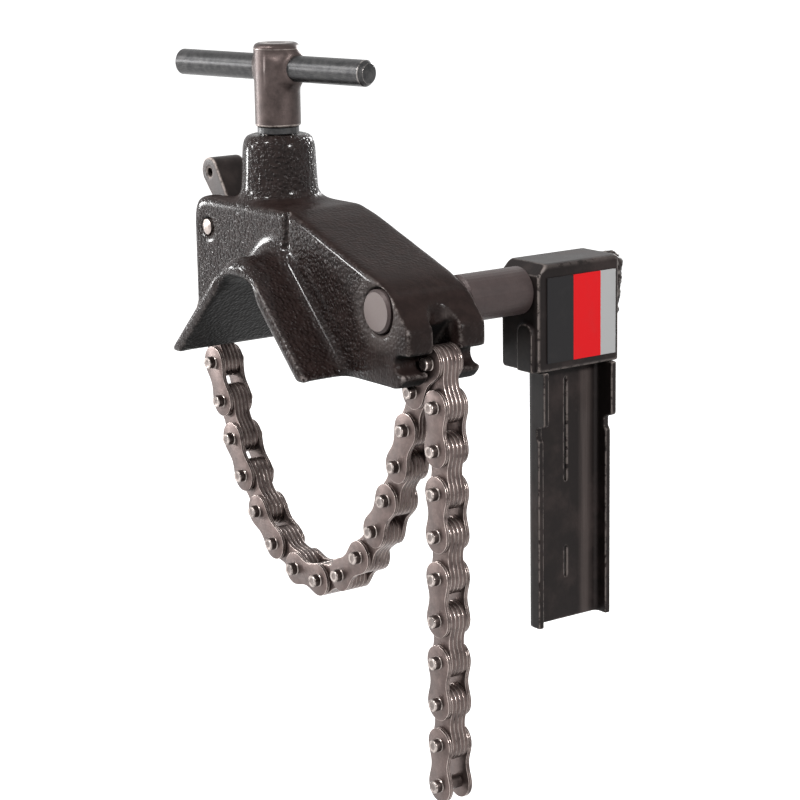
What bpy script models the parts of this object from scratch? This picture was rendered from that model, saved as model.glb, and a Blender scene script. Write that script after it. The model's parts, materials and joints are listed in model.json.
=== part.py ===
"""Chain pipe clamp: cast saddle body, tee screw, tension lever, leaf chain and swinging saw arm.

The origin is the middle of the flat at the top of the V saddle. +X runs towards the chain hook,
+Z away from the pipe, and +Y towards the saw arm. The chain runs in the plane Y = 0.
"""
import math

import bmesh
import bpy
import numpy as np
from mathutils import Matrix, Vector

MM = 0.001
DEG = math.pi / 180.0

# General fits
SEAT_GAP = 0.3 * MM
CUT_OVERRUN = 4.0 * MM
ARC_STEP = 15.0 * DEG
FINE_ARC_STEP = 10.0 * DEG
LINK_ARC_STEP = 30.0 * DEG
WELD_DISTANCE = 0.002 * MM

# Saddle body, side outline
BODY_HALF_THICKNESS = 17.5 * MM
BODY_TOP_Z = 24.5 * MM
BODY_LEFT_X = -58.6 * MM
BODY_LEFT_RADIUS = 8.0 * MM
LEFT_WALL_BOTTOM_Z = -25.0 * MM
CREST_X = 7.0 * MM
CREST_RADIUS = 5.0 * MM
SLOPE_START_X = 18.0 * MM
SLOPE_START_Z = 21.6 * MM
SLOPE_START_RADIUS = 12.0 * MM
SLOPE_END_RISE = 10.3 * MM
SLOPE_END_RADIUS = 25.0 * MM
NOSE_BEND_X = 72.4 * MM
NOSE_BEND_Z = 0.1 * MM
NOSE_BEND_RADIUS = 6.0 * MM
NOSE_X = 82.0 * MM
NOSE_CORNER_Z = -10.5 * MM
NOSE_RADIUS = 3.0 * MM
BODY_BOTTOM_Z = -32.4 * MM
EDGE_RADIUS = 1.2 * MM

# V saddle
V_FLAT_HALF_WIDTH = 6.9 * MM
V_WALL = 5.0 * MM
V_LEFT_TIP_Z = -33.8 * MM
V_RIGHT_TIP_Z = -31.9 * MM
V_CROWN_RADIUS = 13.0 * MM
V_TIP_RADIUS = 1.0 * MM
SADDLE_HALF_LENGTH = 37.0 * MM

# Hook at the fork
HOOK_PIN_X = 77.7 * MM
HOOK_PIN_Z = -23.4 * MM
HOOK_MOUTH_HEIGHT = 6.8 * MM
HOOK_DEPTH = 4.4 * MM
HOOK_LIP_REACH = 2.8 * MM
HOOK_LIP_DROP = 5.2 * MM
HOOK_LIP_BACK = 4.7 * MM
FORK_SLOT_SIDE_GAP = 0.35 * MM
FORK_ARCH_X = 74.5 * MM
FORK_FLOOR_TOP_X = 75.6 * MM
FORK_FLOOR_KNEE_X = 68.6 * MM
FORK_FLOOR_KNEE_Z = -16.6 * MM
FORK_FLOOR_TAIL_X = 54.0 * MM
FORK_FLOOR_TAIL_Z = -31.0 * MM

# Boss and tee screw
SCREW_BEHIND_ARM_TIP = 5.5 * MM
BOSS_HEIGHT = 25.3 * MM
BOSS_TOP_RADIUS = 14.0 * MM
BOSS_FOOT_RADIUS = 15.0 * MM
BOSS_ROUND = 3.0 * MM
SCREW_RADIUS = 6.0 * MM
SCREW_TIP_LENGTH = 8.0 * MM
SCREW_TIP_RADIUS = 4.6 * MM
WASHER_THICKNESS = 2.2 * MM
WASHER_RADIUS = 8.0 * MM
HUB_RADIUS = 8.75 * MM
HUB_HEIGHT = 31.5 * MM
HUB_CHAMFER = 1.6 * MM
BAR_RADIUS = 5.0 * MM
BAR_SHORT_REACH = 47.2 * MM
BAR_LONG_REACH = 51.5 * MM
BAR_BELOW_HUB_TOP = 9.5 * MM
BAR_CHAMFER = 0.8 * MM
BAR_TURN = 12.6 * DEG

# Lever pocket
POCKET_ROOF_Z = 16.5 * MM
POCKET_END_GAP = 3.9 * MM
POCKET_OPEN_X = -43.0 * MM
POCKET_SIDE_GAP = 1.4 * MM
POCKET_ROUND = 2.0 * MM

# Tension lever
PIVOT_X = -48.7 * MM
PIVOT_Z = 12.5 * MM
PIVOT_RADIUS = 3.0 * MM
PIVOT_DOME = 0.6 * MM
LEVER_HALF_WIDTH = 7.0 * MM
LEVER_CHEEK = 3.1 * MM
LEVER_WEB = 3.4 * MM
EYE_X = -13.7 * MM
EYE_Z = 18.9 * MM
EYE_RADIUS = 1.75 * MM
HEAD_RADIUS = 6.0 * MM
ANCHOR_X = -23.3 * MM
ANCHOR_Z = -43.5 * MM
LOWER_ARM_HALF_WIDTH = 6.4 * MM
UPPER_ARM_LENGTH = 31.2 * MM
UPPER_ARM_SLOPE = -22.0 * DEG
UPPER_ARM_RISE = 4.0 * MM
UPPER_ARM_START = 3.5 * MM
UPPER_ARM_TIP_DEPTH = 6.0 * MM
UPPER_ARM_TIP_RADIUS = 2.5 * MM
LEVER_ROUND = 8.0 * MM

# Leaf chain
PITCH = 15.875 * MM
LINK_HALF_HEIGHT = 6.4 * MM
LINK_WAIST_HALF_HEIGHT = 5.0 * MM
CHAIN_PIN_RADIUS = 2.4 * MM
CHAIN_PIN_HALF_LENGTH = 8.2 * MM
CHAIN_PIN_CHAMFER = 0.5 * MM
STACK_HALF_WIDTH = 3.45 * MM
OUTER_PLATE_GAP = 0.12 * MM
OUTER_PLATE_THICKNESS = 1.7 * MM
LINK_HOLE_CLEARANCE = 0.35 * MM
LOOP_LINKS = 16
TAIL_LINKS = 10
LAST_LINK_HEADING = 50.0 * DEG
TAIL_LEAN = 10.0 * DEG

# Swing shaft and saw arm
SHAFT_X = 64.0 * MM
SHAFT_Z = -5.0 * MM
JOURNAL_RADIUS = 8.0 * MM
JOURNAL_PROUD = 1.0 * MM
JOURNAL_CHAMFER = 0.9 * MM
TUBE_RADIUS = 9.0 * MM
HEAD_FRONT_Y = 47.0 * MM
HEAD_DEPTH = 39.0 * MM
HEAD_LEFT_X = -10.0 * MM
HEAD_RIGHT_X = 11.4 * MM
HEAD_TOP_Z = 10.5 * MM
HEAD_BOTTOM_Z = -30.0 * MM
HEAD_CHAMFER = 4.0 * MM
HEAD_EDGE = 1.0 * MM
CHANNEL_FRONT_Y = 50.0 * MM
CHANNEL_WIDTH = 35.5 * MM
CHANNEL_WALL = 2.5 * MM
CHANNEL_BEND = 4.0 * MM
EAR_PROUD = 1.5 * MM
EAR_LEFT_X = 0.4 * MM
EAR_WIDTH = 8.6 * MM
EAR_TOP_Z = -12.0 * MM
EAR_RADIUS = 3.5 * MM
CHANNEL_BACK_X = -0.3 * MM
CHANNEL_UPPER_DEPTH = 11.3 * MM
CHANNEL_LOWER_DEPTH = 8.0 * MM
CHANNEL_NOTCH_DEPTH = 6.9 * MM
CHANNEL_STEP_Z = -51.0 * MM
CHANNEL_NOTCH_HEIGHT = 5.0 * MM
CHANNEL_BOTTOM_Z = -130.5 * MM
CHANNEL_SLOT_WIDTH = 1.6 * MM
CHANNEL_SLOT_TOP_Z = -35.5 * MM
CHANNEL_SLOT_BOTTOM_Z = -75.9 * MM
CHANNEL_SHORT_SLOT_TOP_Z = -101.6 * MM
CHANNEL_SHORT_SLOT_BOTTOM_Z = -113.8 * MM
WELD_RADIUS = 3.4 * MM
WELD_INSET = 2.0 * MM
LABEL_THICKNESS = 0.5 * MM
LABEL_GAP = 0.1 * MM
LABEL_FRONT_Y = 50.9 * MM
LABEL_WIDTH = 33.1 * MM
LABEL_TOP_Z = 5.4 * MM
LABEL_HEIGHT = 32.0 * MM

# Values that follow from the sizes above
V_OUTER_SHIFT = V_WALL * math.sqrt(2.0)
BOSS_TOP_Z = BODY_TOP_Z + BOSS_HEIGHT
WASHER_Z = BOSS_TOP_Z + SEAT_GAP
HUB_Z = WASHER_Z + WASHER_THICKNESS + SEAT_GAP
BAR_Z = HUB_Z + HUB_HEIGHT - BAR_BELOW_HUB_TOP
STACK_GAP = STACK_HALF_WIDTH + OUTER_PLATE_GAP
CHAIN_HALF_WIDTH = STACK_GAP + OUTER_PLATE_THICKNESS
POCKET_HALF_WIDTH = LEVER_HALF_WIDTH + POCKET_SIDE_GAP
FORK_HALF_WIDTH = CHAIN_HALF_WIDTH + FORK_SLOT_SIDE_GAP
HOOK_FLOOR_Z = HOOK_PIN_Z - CHAIN_PIN_RADIUS - SEAT_GAP
SCREW_REACH_X = UPPER_ARM_LENGTH - SCREW_BEHIND_ARM_TIP
SCREW_X = PIVOT_X + SCREW_REACH_X
POCKET_RIGHT_X = PIVOT_X + UPPER_ARM_LENGTH + POCKET_END_GAP


def clear_scene():
    """Empty the scene and the collections left from an earlier run."""
    for item in list(bpy.data.objects):
        bpy.data.objects.remove(item, do_unlink=True)
    for group in list(bpy.data.collections):
        bpy.data.collections.remove(group)


def make_collection(name):
    """Add a collection under the scene."""
    group = bpy.data.collections.new(name)
    bpy.context.scene.collection.children.link(group)
    return group


def make_material(name, colour, roughness, metallic):
    """One Principled material."""
    mat = bpy.data.materials.new(name)
    mat.use_nodes = True
    shader = mat.node_tree.nodes["Principled BSDF"]
    shader.inputs["Base Color"].default_value = (*colour, 1.0)
    shader.inputs["Roughness"].default_value = roughness
    shader.inputs["Metallic"].default_value = metallic
    mat.diffuse_color = (*colour, 1.0)
    return mat


def rounded(corners, step=ARC_STEP):
    """Turn corners (x, z, radius) into an outline whose corners are arcs."""
    points = []
    count = len(corners)
    for index, (x, z, radius) in enumerate(corners):
        corner = Vector((x, z))
        before = Vector(corners[index - 1][:2]) - corner
        after = Vector(corners[(index + 1) % count][:2]) - corner
        to_before = before.normalized()
        to_after = after.normalized()
        half = math.acos(max(-1.0, min(1.0, to_before.dot(to_after)))) / 2.0
        turn = math.pi - 2.0 * half
        if radius <= 0.0 or turn < step / 4.0:
            points.append((x, z))
            continue
        reach = radius / math.tan(half)
        reach = min(reach, before.length / 2.0, after.length / 2.0)
        radius = reach * math.tan(half)
        middle = corner + (to_before + to_after).normalized() * (radius / math.sin(half))
        start = corner + to_before * reach - middle
        end = corner + to_after * reach - middle
        sweep = start.angle_signed(end)
        pieces = max(2, math.ceil(abs(sweep) / step))
        for part in range(pieces + 1):
            angle = -sweep * part / pieces
            spoke = Vector((
                start.x * math.cos(angle) - start.y * math.sin(angle),
                start.x * math.sin(angle) + start.y * math.cos(angle),
            ))
            points.append(tuple(middle + spoke))
    return points


def circle(x, z, radius, step=ARC_STEP):
    """Outline of a round hole."""
    sides = max(8, round(2.0 * math.pi / step))
    return [
        (x + radius * math.cos(2.0 * math.pi * side / sides),
         z + radius * math.sin(2.0 * math.pi * side / sides))
        for side in range(sides)
    ]


def link_into(item, group, material=None):
    """Put an object into its collection, with its material."""
    group.objects.link(item)
    if material is not None:
        item.data.materials.clear()
        item.data.materials.append(material)
    return item


def as_cutter(item):
    """Mark an object as a guide that is not part of the model."""
    item.hide_render = True
    item.display_type = "WIRE"
    return item


def slab(name, outlines, y_low, y_high, group, material=None, at=(0.0, 0.0, 0.0)):
    """Extrude outlines of the XZ plane from y_low to y_high and return a mesh object."""
    curve = bpy.data.curves.new(name, "CURVE")
    curve.dimensions = "2D"
    curve.fill_mode = "BOTH"
    curve.extrude = (y_high - y_low) / 2.0
    for outline in outlines:
        spline = curve.splines.new("POLY")
        spline.points.add(len(outline) - 1)
        for point, (x, z) in zip(spline.points, outline):
            point.co = (x, z, 0.0, 1.0)
        spline.use_cyclic_u = True
    flat = bpy.data.objects.new(name + "_outline", curve)
    bpy.context.scene.collection.objects.link(flat)
    bpy.context.view_layer.update()
    depsgraph = bpy.context.evaluated_depsgraph_get()
    mesh = bpy.data.meshes.new_from_object(flat.evaluated_get(depsgraph))
    bpy.data.objects.remove(flat, do_unlink=True)
    bpy.data.curves.remove(curve)
    work = bmesh.new()
    work.from_mesh(mesh)
    bmesh.ops.remove_doubles(work, verts=work.verts, dist=WELD_DISTANCE)
    bmesh.ops.rotate(work, verts=work.verts, matrix=Matrix.Rotation(math.pi / 2.0, 3, "X"))
    bmesh.ops.translate(work, verts=work.verts, vec=(0.0, (y_low + y_high) / 2.0, 0.0))
    bmesh.ops.recalc_face_normals(work, faces=work.faces)
    work.to_mesh(mesh)
    work.free()
    mesh.name = name
    item = bpy.data.objects.new(name, mesh)
    item.location = at
    return link_into(item, group, material)


def turned(name, profile, sides, group, material=None, at=(0.0, 0.0, 0.0), along=None):
    """Revolve a profile of (radius, height) pairs, given top to bottom, about local Z."""
    mesh = bpy.data.meshes.new(name)
    ring = profile[0] == profile[-1]
    points = [(radius, 0.0, height) for radius, height in (profile[:-1] if ring else profile)]
    edges = [(k, k + 1) for k in range(len(points) - 1)]
    if ring:
        edges.append((len(points) - 1, 0))
    mesh.from_pydata(points, edges, [])
    item = bpy.data.objects.new(name, mesh)
    item.location = at
    if along is not None:
        item.rotation_euler = along
    screw = item.modifiers.new("turn", "SCREW")
    screw.axis = "Z"
    screw.angle = 2.0 * math.pi
    screw.steps = sides
    screw.render_steps = sides
    screw.use_merge_vertices = True
    screw.merge_threshold = WELD_DISTANCE
    screw.use_smooth_shade = True
    return link_into(item, group, material)


def boolean(target, other, operation):
    """Add a Boolean modifier with the exact solver."""
    step = target.modifiers.new(operation.lower() + "_" + other.name, "BOOLEAN")
    step.operation = operation
    step.solver = "EXACT"
    step.object = other


def bake(item):
    """Replace an object's mesh by its evaluated mesh, so that copies can share it."""
    bpy.context.view_layer.update()
    depsgraph = bpy.context.evaluated_depsgraph_get()
    mesh = bpy.data.meshes.new_from_object(item.evaluated_get(depsgraph))
    item.modifiers.clear()
    item.data = mesh
    return mesh


def box(name, low, high, group, material=None):
    """A box between two corners."""
    mesh = bpy.data.meshes.new(name)
    work = bmesh.new()
    bmesh.ops.create_cube(work, size=1.0)
    size = Vector(high) - Vector(low)
    middle = (Vector(high) + Vector(low)) / 2.0
    bmesh.ops.scale(work, verts=work.verts, vec=size)
    bmesh.ops.translate(work, verts=work.verts, vec=middle)
    work.to_mesh(mesh)
    work.free()
    item = bpy.data.objects.new(name, mesh)
    return link_into(item, group, material)


def v_line(x, shift):
    """Height of the saddle's 45 degree flank, moved outward by shift."""
    return V_FLAT_HALF_WIDTH + shift - abs(x)


def v_reach(z, shift):
    """Half width of the saddle's flank at height z, moved outward by shift."""
    return V_FLAT_HALF_WIDTH + shift - z


def build_body(parts, cutters, material):
    """The casting: slab, saddle, boss and fork."""
    hook_back_x = HOOK_PIN_X - HOOK_DEPTH
    hook_roof_z = HOOK_FLOOR_Z + HOOK_MOUTH_HEIGHT
    hook_round = HOOK_MOUTH_HEIGHT / 2.0
    lip_x = HOOK_PIN_X + HOOK_LIP_REACH
    slope_end_z = SHAFT_Z + SLOPE_END_RISE
    side = rounded([
        (BODY_LEFT_X, LEFT_WALL_BOTTOM_Z, EDGE_RADIUS),
        (BODY_LEFT_X, BODY_TOP_Z, BODY_LEFT_RADIUS),
        (CREST_X, BODY_TOP_Z, CREST_RADIUS),
        (SLOPE_START_X, SLOPE_START_Z, SLOPE_START_RADIUS),
        (SHAFT_X, slope_end_z, SLOPE_END_RADIUS),
        (NOSE_BEND_X, NOSE_BEND_Z, NOSE_BEND_RADIUS),
        (NOSE_X, NOSE_CORNER_Z, NOSE_RADIUS),
        (NOSE_X, hook_roof_z, EDGE_RADIUS),
        (hook_back_x, hook_roof_z, hook_round),
        (hook_back_x, HOOK_FLOOR_Z, hook_round),
        (lip_x, HOOK_FLOOR_Z, EDGE_RADIUS),
        (lip_x - HOOK_LIP_BACK, HOOK_FLOOR_Z - HOOK_LIP_DROP, EDGE_RADIUS),
        (lip_x - HOOK_LIP_BACK - HOOK_LIP_DROP, BODY_BOTTOM_Z, EDGE_RADIUS),
        (0.0, BODY_BOTTOM_Z, 0.0),
        (0.0, LEFT_WALL_BOTTOM_Z, 0.0),
    ])
    body = slab("clamp_body", [side], -BODY_HALF_THICKNESS, BODY_HALF_THICKNESS, parts, material)
    crown = rounded([
        (-v_reach(V_LEFT_TIP_Z, V_OUTER_SHIFT), V_LEFT_TIP_Z, V_TIP_RADIUS),
        (0.0, V_FLAT_HALF_WIDTH + V_OUTER_SHIFT, V_CROWN_RADIUS),
        (v_reach(V_RIGHT_TIP_Z, V_OUTER_SHIFT), V_RIGHT_TIP_Z, V_TIP_RADIUS),
    ])
    saddle = as_cutter(slab("saddle_guide", [crown], -SADDLE_HALF_LENGTH, SADDLE_HALF_LENGTH, cutters))
    boolean(body, saddle, "UNION")
    boss_profile = [
        (0.0, BOSS_TOP_Z),
        (BOSS_TOP_RADIUS - BOSS_ROUND, BOSS_TOP_Z),
        (BOSS_TOP_RADIUS - BOSS_ROUND / 2.0, BOSS_TOP_Z - BOSS_ROUND * (1.0 - math.sqrt(3.0) / 2.0)),
        (BOSS_TOP_RADIUS, BOSS_TOP_Z - BOSS_ROUND),
        (BOSS_FOOT_RADIUS, BODY_TOP_Z),
        (BOSS_FOOT_RADIUS, POCKET_ROOF_Z),
        (0.0, POCKET_ROOF_Z),
    ]
    boss = as_cutter(turned("boss_guide", boss_profile, 32, cutters, at=(SCREW_X, 0.0, 0.0)))
    boolean(body, boss, "UNION")
    deep_z = V_LEFT_TIP_Z - CUT_OVERRUN
    v_mouth = [
        (-V_FLAT_HALF_WIDTH, 0.0),
        (V_FLAT_HALF_WIDTH, 0.0),
        (v_reach(deep_z, 0.0), deep_z),
        (-v_reach(deep_z, 0.0), deep_z),
    ]
    long_y = SADDLE_HALF_LENGTH + CUT_OVERRUN
    boolean(body, as_cutter(slab("v_cutter", [v_mouth], -long_y, long_y, cutters)), "DIFFERENCE")
    far_x = BODY_LEFT_X - CUT_OVERRUN
    high_z = BODY_TOP_Z + CUT_OVERRUN
    pocket = rounded([
        (far_x, high_z, 0.0),
        (POCKET_OPEN_X, high_z, 0.0),
        (POCKET_OPEN_X, POCKET_ROOF_Z, POCKET_ROUND),
        (POCKET_RIGHT_X, POCKET_ROOF_Z, POCKET_ROUND),
        (POCKET_RIGHT_X, v_line(POCKET_RIGHT_X, V_OUTER_SHIFT), POCKET_ROUND),
        (-v_reach(deep_z, V_OUTER_SHIFT), deep_z, 0.0),
        (far_x, deep_z, 0.0),
    ])
    boolean(body, as_cutter(slab("pocket_cutter", [pocket], -POCKET_HALF_WIDTH, POCKET_HALF_WIDTH, cutters)),
            "DIFFERENCE")
    arch_foot_z = SHAFT_Z - JOURNAL_RADIUS / 2.0
    far_nose_x = NOSE_X + CUT_OVERRUN
    arch = rounded([
        (far_nose_x, FORK_HALF_WIDTH, 0.0),
        (FORK_ARCH_X, FORK_HALF_WIDTH, FORK_HALF_WIDTH),
        (FORK_ARCH_X, -FORK_HALF_WIDTH, FORK_HALF_WIDTH),
        (far_nose_x, -FORK_HALF_WIDTH, 0.0),
    ])
    arch_cutter = slab("fork_arch_cutter", [arch], -high_z, CUT_OVERRUN - arch_foot_z, cutters)
    arch_cutter.data.transform(Matrix.Rotation(-math.pi / 2.0, 4, "X"))
    boolean(body, as_cutter(arch_cutter), "DIFFERENCE")
    fork = rounded([
        (far_nose_x, arch_foot_z, 0.0),
        (FORK_FLOOR_TOP_X, arch_foot_z, 0.0),
        (FORK_FLOOR_KNEE_X, FORK_FLOOR_KNEE_Z, POCKET_ROUND),
        (FORK_FLOOR_TAIL_X, FORK_FLOOR_TAIL_Z, POCKET_ROUND),
        (FORK_FLOOR_TAIL_X, deep_z, 0.0),
        (far_nose_x, deep_z, 0.0),
    ])
    boolean(body, as_cutter(slab("fork_cutter", [fork], -FORK_HALF_WIDTH, FORK_HALF_WIDTH, cutters)),
            "DIFFERENCE")
    wide_y = BODY_HALF_THICKNESS + CUT_OVERRUN
    bore = slab("shaft_bore_cutter", [circle(SHAFT_X, SHAFT_Z, JOURNAL_RADIUS + SEAT_GAP, FINE_ARC_STEP)],
                -wide_y, wide_y, cutters)
    boolean(body, as_cutter(bore), "DIFFERENCE")
    hole = slab("pivot_hole_cutter", [circle(PIVOT_X, PIVOT_Z, PIVOT_RADIUS + SEAT_GAP)],
                -wide_y, wide_y, cutters)
    boolean(body, as_cutter(hole), "DIFFERENCE")
    thread = turned("thread_cutter", [
        (0.0, BOSS_TOP_Z + CUT_OVERRUN),
        (SCREW_RADIUS + SEAT_GAP, BOSS_TOP_Z + CUT_OVERRUN),
        (SCREW_RADIUS + SEAT_GAP, POCKET_ROOF_Z - CUT_OVERRUN),
        (0.0, POCKET_ROOF_Z - CUT_OVERRUN),
    ], 24, cutters, at=(SCREW_X, 0.0, 0.0))
    boolean(body, as_cutter(thread), "DIFFERENCE")
    return body


def build_screw(parts, cutters, steel, bar_steel, zinc):
    """Spindle with its hub, the washer under the hub and the tee bar."""
    contact_z = PIVOT_Z + SCREW_REACH_X * math.tan(UPPER_ARM_SLOPE) + UPPER_ARM_RISE / math.cos(UPPER_ARM_SLOPE)
    tip_z = contact_z + SEAT_GAP - SCREW_TIP_RADIUS * math.tan(UPPER_ARM_SLOPE)
    foot = tip_z - HUB_Z
    profile = [
        (0.0, HUB_HEIGHT),
        (HUB_RADIUS - HUB_CHAMFER, HUB_HEIGHT),
        (HUB_RADIUS, HUB_HEIGHT - HUB_CHAMFER),
        (HUB_RADIUS, HUB_CHAMFER / 2.0),
        (HUB_RADIUS - HUB_CHAMFER / 2.0, 0.0),
        (SCREW_RADIUS, 0.0),
        (SCREW_RADIUS, foot + SCREW_TIP_LENGTH),
        (SCREW_TIP_RADIUS, foot + SCREW_TIP_LENGTH - (SCREW_RADIUS - SCREW_TIP_RADIUS)),
        (SCREW_TIP_RADIUS, foot),
        (0.0, foot),
    ]
    screw = turned("clamp_screw", profile, 32, parts, steel, at=(SCREW_X, 0.0, HUB_Z))
    cross = turned("bar_hole_cutter", [
        (0.0, HUB_RADIUS + CUT_OVERRUN),
        (BAR_RADIUS + SEAT_GAP, HUB_RADIUS + CUT_OVERRUN),
        (BAR_RADIUS + SEAT_GAP, -HUB_RADIUS - CUT_OVERRUN),
        (0.0, -HUB_RADIUS - CUT_OVERRUN),
    ], 24, cutters, at=(SCREW_X, 0.0, BAR_Z), along=(0.0, math.pi / 2.0, BAR_TURN))
    boolean(screw, as_cutter(cross), "DIFFERENCE")
    bar = turned("tee_bar", [
        (0.0, BAR_SHORT_REACH),
        (BAR_RADIUS - BAR_CHAMFER, BAR_SHORT_REACH),
        (BAR_RADIUS, BAR_SHORT_REACH - BAR_CHAMFER),
        (BAR_RADIUS, -BAR_LONG_REACH + BAR_CHAMFER),
        (BAR_RADIUS - BAR_CHAMFER, -BAR_LONG_REACH),
        (0.0, -BAR_LONG_REACH),
    ], 24, parts, bar_steel, at=(SCREW_X, 0.0, BAR_Z), along=(0.0, math.pi / 2.0, BAR_TURN))
    washer = turned("thrust_washer", [
        (SCREW_RADIUS + SEAT_GAP, WASHER_THICKNESS),
        (WASHER_RADIUS, WASHER_THICKNESS),
        (WASHER_RADIUS, 0.0),
        (SCREW_RADIUS + SEAT_GAP, 0.0),
        (SCREW_RADIUS + SEAT_GAP, WASHER_THICKNESS),
    ], 28, parts, zinc, at=(SCREW_X, 0.0, WASHER_Z))
    return screw, bar, washer


def build_lever(parts, cutters, lever_paint, pin_steel):
    """The bell crank that the screw pushes, with its pivot pin and the chain's anchor pin."""
    along = Vector((ANCHOR_X, ANCHOR_Z)).normalized()
    across = Vector((-along.y, along.x))
    anchor = Vector((ANCHOR_X, ANCHOR_Z))
    eye = Vector((EYE_X, EYE_Z))
    up = eye.normalized()
    side = Vector((up.y, -up.x))
    slope = math.tan(UPPER_ARM_SLOPE)
    lift = UPPER_ARM_RISE / math.cos(UPPER_ARM_SLOPE)
    tip_z = UPPER_ARM_LENGTH * slope + lift
    near_x = UPPER_ARM_START
    end = anchor + along * LOWER_ARM_HALF_WIDTH
    right = end + across * LOWER_ARM_HALF_WIDTH
    left = end - across * LOWER_ARM_HALF_WIDTH
    crown = eye + up * HEAD_RADIUS
    corners = [
        (*(crown - side * HEAD_RADIUS), HEAD_RADIUS),
        (*(crown + side * HEAD_RADIUS), HEAD_RADIUS),
        (near_x, near_x * slope + lift, LEVER_ROUND),
        (UPPER_ARM_LENGTH, tip_z, UPPER_ARM_TIP_RADIUS),
        (UPPER_ARM_LENGTH, tip_z - UPPER_ARM_TIP_DEPTH, UPPER_ARM_TIP_RADIUS),
        (UPPER_ARM_LENGTH - LEVER_ROUND, tip_z - UPPER_ARM_TIP_DEPTH, LEVER_ROUND),
        (*(across * LOWER_ARM_HALF_WIDTH + along * LEVER_ROUND), LEVER_ROUND),
        (*right, LOWER_ARM_HALF_WIDTH),
        (*left, LOWER_ARM_HALF_WIDTH),
        (*(-across * LEVER_ROUND), LEVER_ROUND),
    ]
    outline = rounded(corners)
    pivot = circle(0.0, 0.0, PIVOT_RADIUS + SEAT_GAP)
    eyelet = circle(EYE_X, EYE_Z, EYE_RADIUS)
    bore = circle(ANCHOR_X, ANCHOR_Z, CHAIN_PIN_RADIUS + SEAT_GAP)
    lever = slab("tension_lever", [outline, pivot, eyelet, bore], -LEVER_HALF_WIDTH, LEVER_HALF_WIDTH,
                 parts, lever_paint, at=(PIVOT_X, 0.0, PIVOT_Z))
    web = across * (LOWER_ARM_HALF_WIDTH - LEVER_WEB)
    wide = across * (LOWER_ARM_HALF_WIDTH + CUT_OVERRUN)
    reach = anchor.length
    start = along * (2.0 * LEVER_ROUND)
    web_end = along * (reach - 2.0 * LINK_HALF_HEIGHT)
    far = along * (reach + LOWER_ARM_HALF_WIDTH + CUT_OVERRUN)
    gap = [
        tuple(start - wide),
        tuple(start + web),
        tuple(web_end + web),
        tuple(web_end + along * LEVER_WEB + wide),
        tuple(far + wide),
        tuple(far - wide),
    ]
    cheek_y = LEVER_HALF_WIDTH - LEVER_CHEEK
    cutter = slab("lever_slot_cutter", [gap], -cheek_y, cheek_y, cutters, at=(PIVOT_X, 0.0, PIVOT_Z))
    boolean(lever, as_cutter(cutter), "DIFFERENCE")
    pin = turned("lever_pivot_pin", [
        (0.0, BODY_HALF_THICKNESS + PIVOT_DOME),
        (PIVOT_RADIUS / 2.0, BODY_HALF_THICKNESS + PIVOT_DOME * 0.75),
        (PIVOT_RADIUS, BODY_HALF_THICKNESS),
        (PIVOT_RADIUS, -BODY_HALF_THICKNESS),
        (PIVOT_RADIUS / 2.0, -BODY_HALF_THICKNESS - PIVOT_DOME * 0.75),
        (0.0, -BODY_HALF_THICKNESS - PIVOT_DOME),
    ], 24, parts, pin_steel, at=(PIVOT_X, 0.0, PIVOT_Z), along=(-math.pi / 2.0, 0.0, 0.0))
    anchor_pin = turned("chain_anchor_pin", chain_pin_profile(), 12, parts, pin_steel,
                        at=(PIVOT_X + ANCHOR_X, 0.0, PIVOT_Z + ANCHOR_Z), along=(-math.pi / 2.0, 0.0, 0.0))
    return lever, pin, anchor_pin


def chain_pin_profile():
    """Half section of a chain pin, top to bottom."""
    return [
        (0.0, CHAIN_PIN_HALF_LENGTH),
        (CHAIN_PIN_RADIUS - CHAIN_PIN_CHAMFER, CHAIN_PIN_HALF_LENGTH),
        (CHAIN_PIN_RADIUS, CHAIN_PIN_HALF_LENGTH - CHAIN_PIN_CHAMFER),
        (CHAIN_PIN_RADIUS, -CHAIN_PIN_HALF_LENGTH + CHAIN_PIN_CHAMFER),
        (CHAIN_PIN_RADIUS - CHAIN_PIN_CHAMFER, -CHAIN_PIN_HALF_LENGTH),
        (0.0, -CHAIN_PIN_HALF_LENGTH),
    ]


def waisted_plate():
    """Side outline of a chain plate: two round ends and a drawn-in waist."""
    points = []
    steps = 4
    edge = math.asin(LINK_WAIST_HALF_HEIGHT / LINK_HALF_HEIGHT)
    for centre_x, first, last in ((0.0, edge, 2.0 * math.pi - edge), (PITCH, math.pi + edge, 3.0 * math.pi - edge)):
        count = 2 * steps
        for k in range(count + 1):
            angle = first + (last - first) * k / count
            points.append((centre_x + LINK_HALF_HEIGHT * math.cos(angle), LINK_HALF_HEIGHT * math.sin(angle)))
    return points


def build_links(parts, cutters, plate_steel):
    """Meshes of the two kinds of link, each with its first pin's axis at the origin."""
    plate = waisted_plate()
    holes = [circle(x, 0.0, CHAIN_PIN_RADIUS + LINK_HOLE_CLEARANCE, LINK_ARC_STEP) for x in (0.0, PITCH)]
    inner = slab("inner_link_guide", [plate, *holes], -STACK_HALF_WIDTH, STACK_HALF_WIDTH, cutters, plate_steel)
    outer = slab("outer_link_guide", [plate], STACK_GAP, CHAIN_HALF_WIDTH, cutters, plate_steel)
    far_plate = as_cutter(slab("far_plate_guide", [plate], -CHAIN_HALF_WIDTH, -STACK_GAP, cutters))
    for x in (0.0, PITCH):
        pin = turned("link_pin_guide", chain_pin_profile(), 12, cutters, at=(x, 0.0, 0.0),
                     along=(-math.pi / 2.0, 0.0, 0.0))
        boolean(outer, as_cutter(pin), "UNION")
    boolean(outer, far_plate, "UNION")
    bake(outer)
    bake(inner)
    return as_cutter(inner), as_cutter(outer)


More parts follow.
